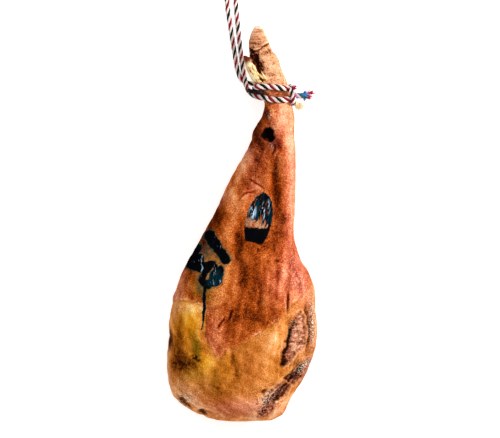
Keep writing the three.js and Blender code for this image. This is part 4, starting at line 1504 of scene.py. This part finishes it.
def paintRope():
    paint, tree, shader = newPaint("ropePaint")
    place = addNode(tree, "ShaderNodeTexCoord").outputs["Object"]
    uv = addNode(tree, "ShaderNodeUVMap", uv_map="UVMap").outputs[0]
    axes = addNode(tree, "ShaderNodeSeparateXYZ", {0: uv})
    turns = times(tree, axes.outputs[0], ropePaint["yarnTurns"])
    turns = plus(tree, turns, axes.outputs[1], -1.0 / ropePaint["yarnPitch"])
    wave = calc(tree, "ABSOLUTE", calc(tree, "SINE", times(tree, turns, math.pi)))
    fluff = noise(tree, place, 1500, 3, 0.7)
    dirty = noise(tree, place, 60, 4, 0.6)
    laid = calc(tree, "LESS_THAN", mask(tree, "girth"), 0.01)  # 1 on strands, and 0 on loose fibres
    # painted shade in the grooves between the yarns
    groove = times(tree, remap(tree, wave, 0.5, 0.0), plus(tree, 0.2, laid, 0.5))
    colour = blend(tree, groove, yarnColour(tree), ropePaint["dirtAndShade"], "MULTIPLY")
    colour = blend(tree, remap(tree, fluff, 0.45, 0.75, 0.0, 0.03), colour, (1.0, 1.0, 1.0, 1.0), "SCREEN")
    colour = blend(tree, remap(tree, dirty, 0.52, 0.72, 0.0, 0.45), colour, ropePaint["dirtAndShade"], "MULTIPLY")
    # painted shadow on the wound rope, broken up by the dirt's pattern
    ropeShadow = spotAt(tree, place, ropePaint["ropeShadowSpot"])
    ropeShadow = times(tree, ropeShadow, remap(tree, dirty, 0.4, 0.55, 0.35, 0.9))
    colour = blend(tree, ropeShadow, colour, ropePaint["ropeShadow"], "MULTIPLY")
    bump = {
        "Height": plus(tree, wave, fluff, 0.35),
        "Distance": ropePaint["yarnHeight"] * mm,
        "Strength": 0.9,
    }
    setInputs(tree, shader, {
        "Base Color": colour,
        "Emission Color": colour,
        # painted light: the pale loose fibres glow a little
        "Emission Strength": remap(tree, mask(tree, "strand"), 8.0, 10.0, 0.0, 0.2),
        "Roughness": 0.85,
        "Specular IOR Level": 0.1,
        "Normal": addNode(tree, "ShaderNodeBump", bump).outputs[0],
    })
    return paint


def makeRope(ham):
    points, inLoop = ropeRoute(skinTree(ham))
    form = ropeForm
    loose = smoothStep(0, form["settle"], inLoop)
    thick = form["turnRadius"] + (form["loopRadius"] - form["turnRadius"]) * loose
    lay = form["turnLay"] + (form["loopLay"] - form["turnLay"]) * loose
    whole = ropeRun(points, thick, lay, 0)
    first, last = np.nonzero(inLoop > 0)[0][[0, -1]]
    loopRun = cutRun(whole, slice(first - 1, last + 2))
    wound = [cutRun(whole, slice(0, first)), cutRun(whole, slice(last + 1, None))]
    held = np.concatenate([run["points"] for run in wound])
    for end in ropeEnds.values():
        line = smoothRun(end["line"], form["step"])
        size = np.full(len(line), float(end["radius"]))
        lay = np.full(len(line), float(end["lay"]))
        wound.append(ropeRun(line, size, lay, end["yarns"], end["tips"]))
    paint = paintRope()
    tree = ropeTree(paint)
    loop = newObject("looseRopeLoop", strandsOn([loopRun], tree, "looseRopeLoop"))
    turns = newObject("woundRope", strandsOn(wound, tree, "woundRope"))
    sizes = {
        "Fibre Radius": fibreForm["radius"] * mm,
        "Curl": fibreForm["curl"] * mm,
        "Curl Size": fibreForm["curlSize"],
        "Seed": fibreForm["curlSeed"],
    }
    fibres = newObject("fibres", grown(fibreRoots(), fibreTree(paint), sizes, "fibres"))
    joined(turns, [fibres])
    for piece in (loop, turns):
        print(piece.name, len(piece.data.polygons), "faces")
    return turns, loop, loopRun["points"], held


def joined(target, others):
    with bpy.context.temp_override(active_object=target, selected_editable_objects=[target] + others):
        bpy.ops.object.join()


def pressRope(ham, held):  # the wound rope leaves its groove in the skin
    points = readPoints(ham.data)
    low, high = held[:, 1].min() - ropeForm["pressReach"], held[:, 1].max() + ropeForm["pressReach"]
    near = np.nonzero((points[:, 1] > low) & (points[:, 1] < high))[0]
    part = points[near]
    keep = ropeForm["turnRadius"] - ropeForm["pressGap"]
    best = np.full(len(part), 1e9)
    away = np.zeros_like(part)
    for centre in held:
        gap = part - centre
        distance = np.linalg.norm(gap, axis=1)
        nearer = distance < best
        best[nearer] = distance[nearer]
        away[nearer] = gap[nearer]
    push = np.clip(keep - best, 0, None)
    points[near] = part + away / np.maximum(best, 0.1)[:, None] * push[:, None]
    points[:, 2] = np.maximum(points[:, 2], 0)
    writePoints(ham.data, points)


ham = makeHam()
ropeTurns, ropeLoop, loopLine, held = makeRope(ham)
pressRope(ham, held)
print("rope is laid")

ham.data.materials.append(paintHam())
print("ham is painted")

pieces = {"ham": (ham, "ham"), "rope_turns": (ropeTurns, "rope"), "rope_loop": (ropeLoop, "rope")}
for node, (piece, slot) in pieces.items():
    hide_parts(node)
    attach(piece, "root")
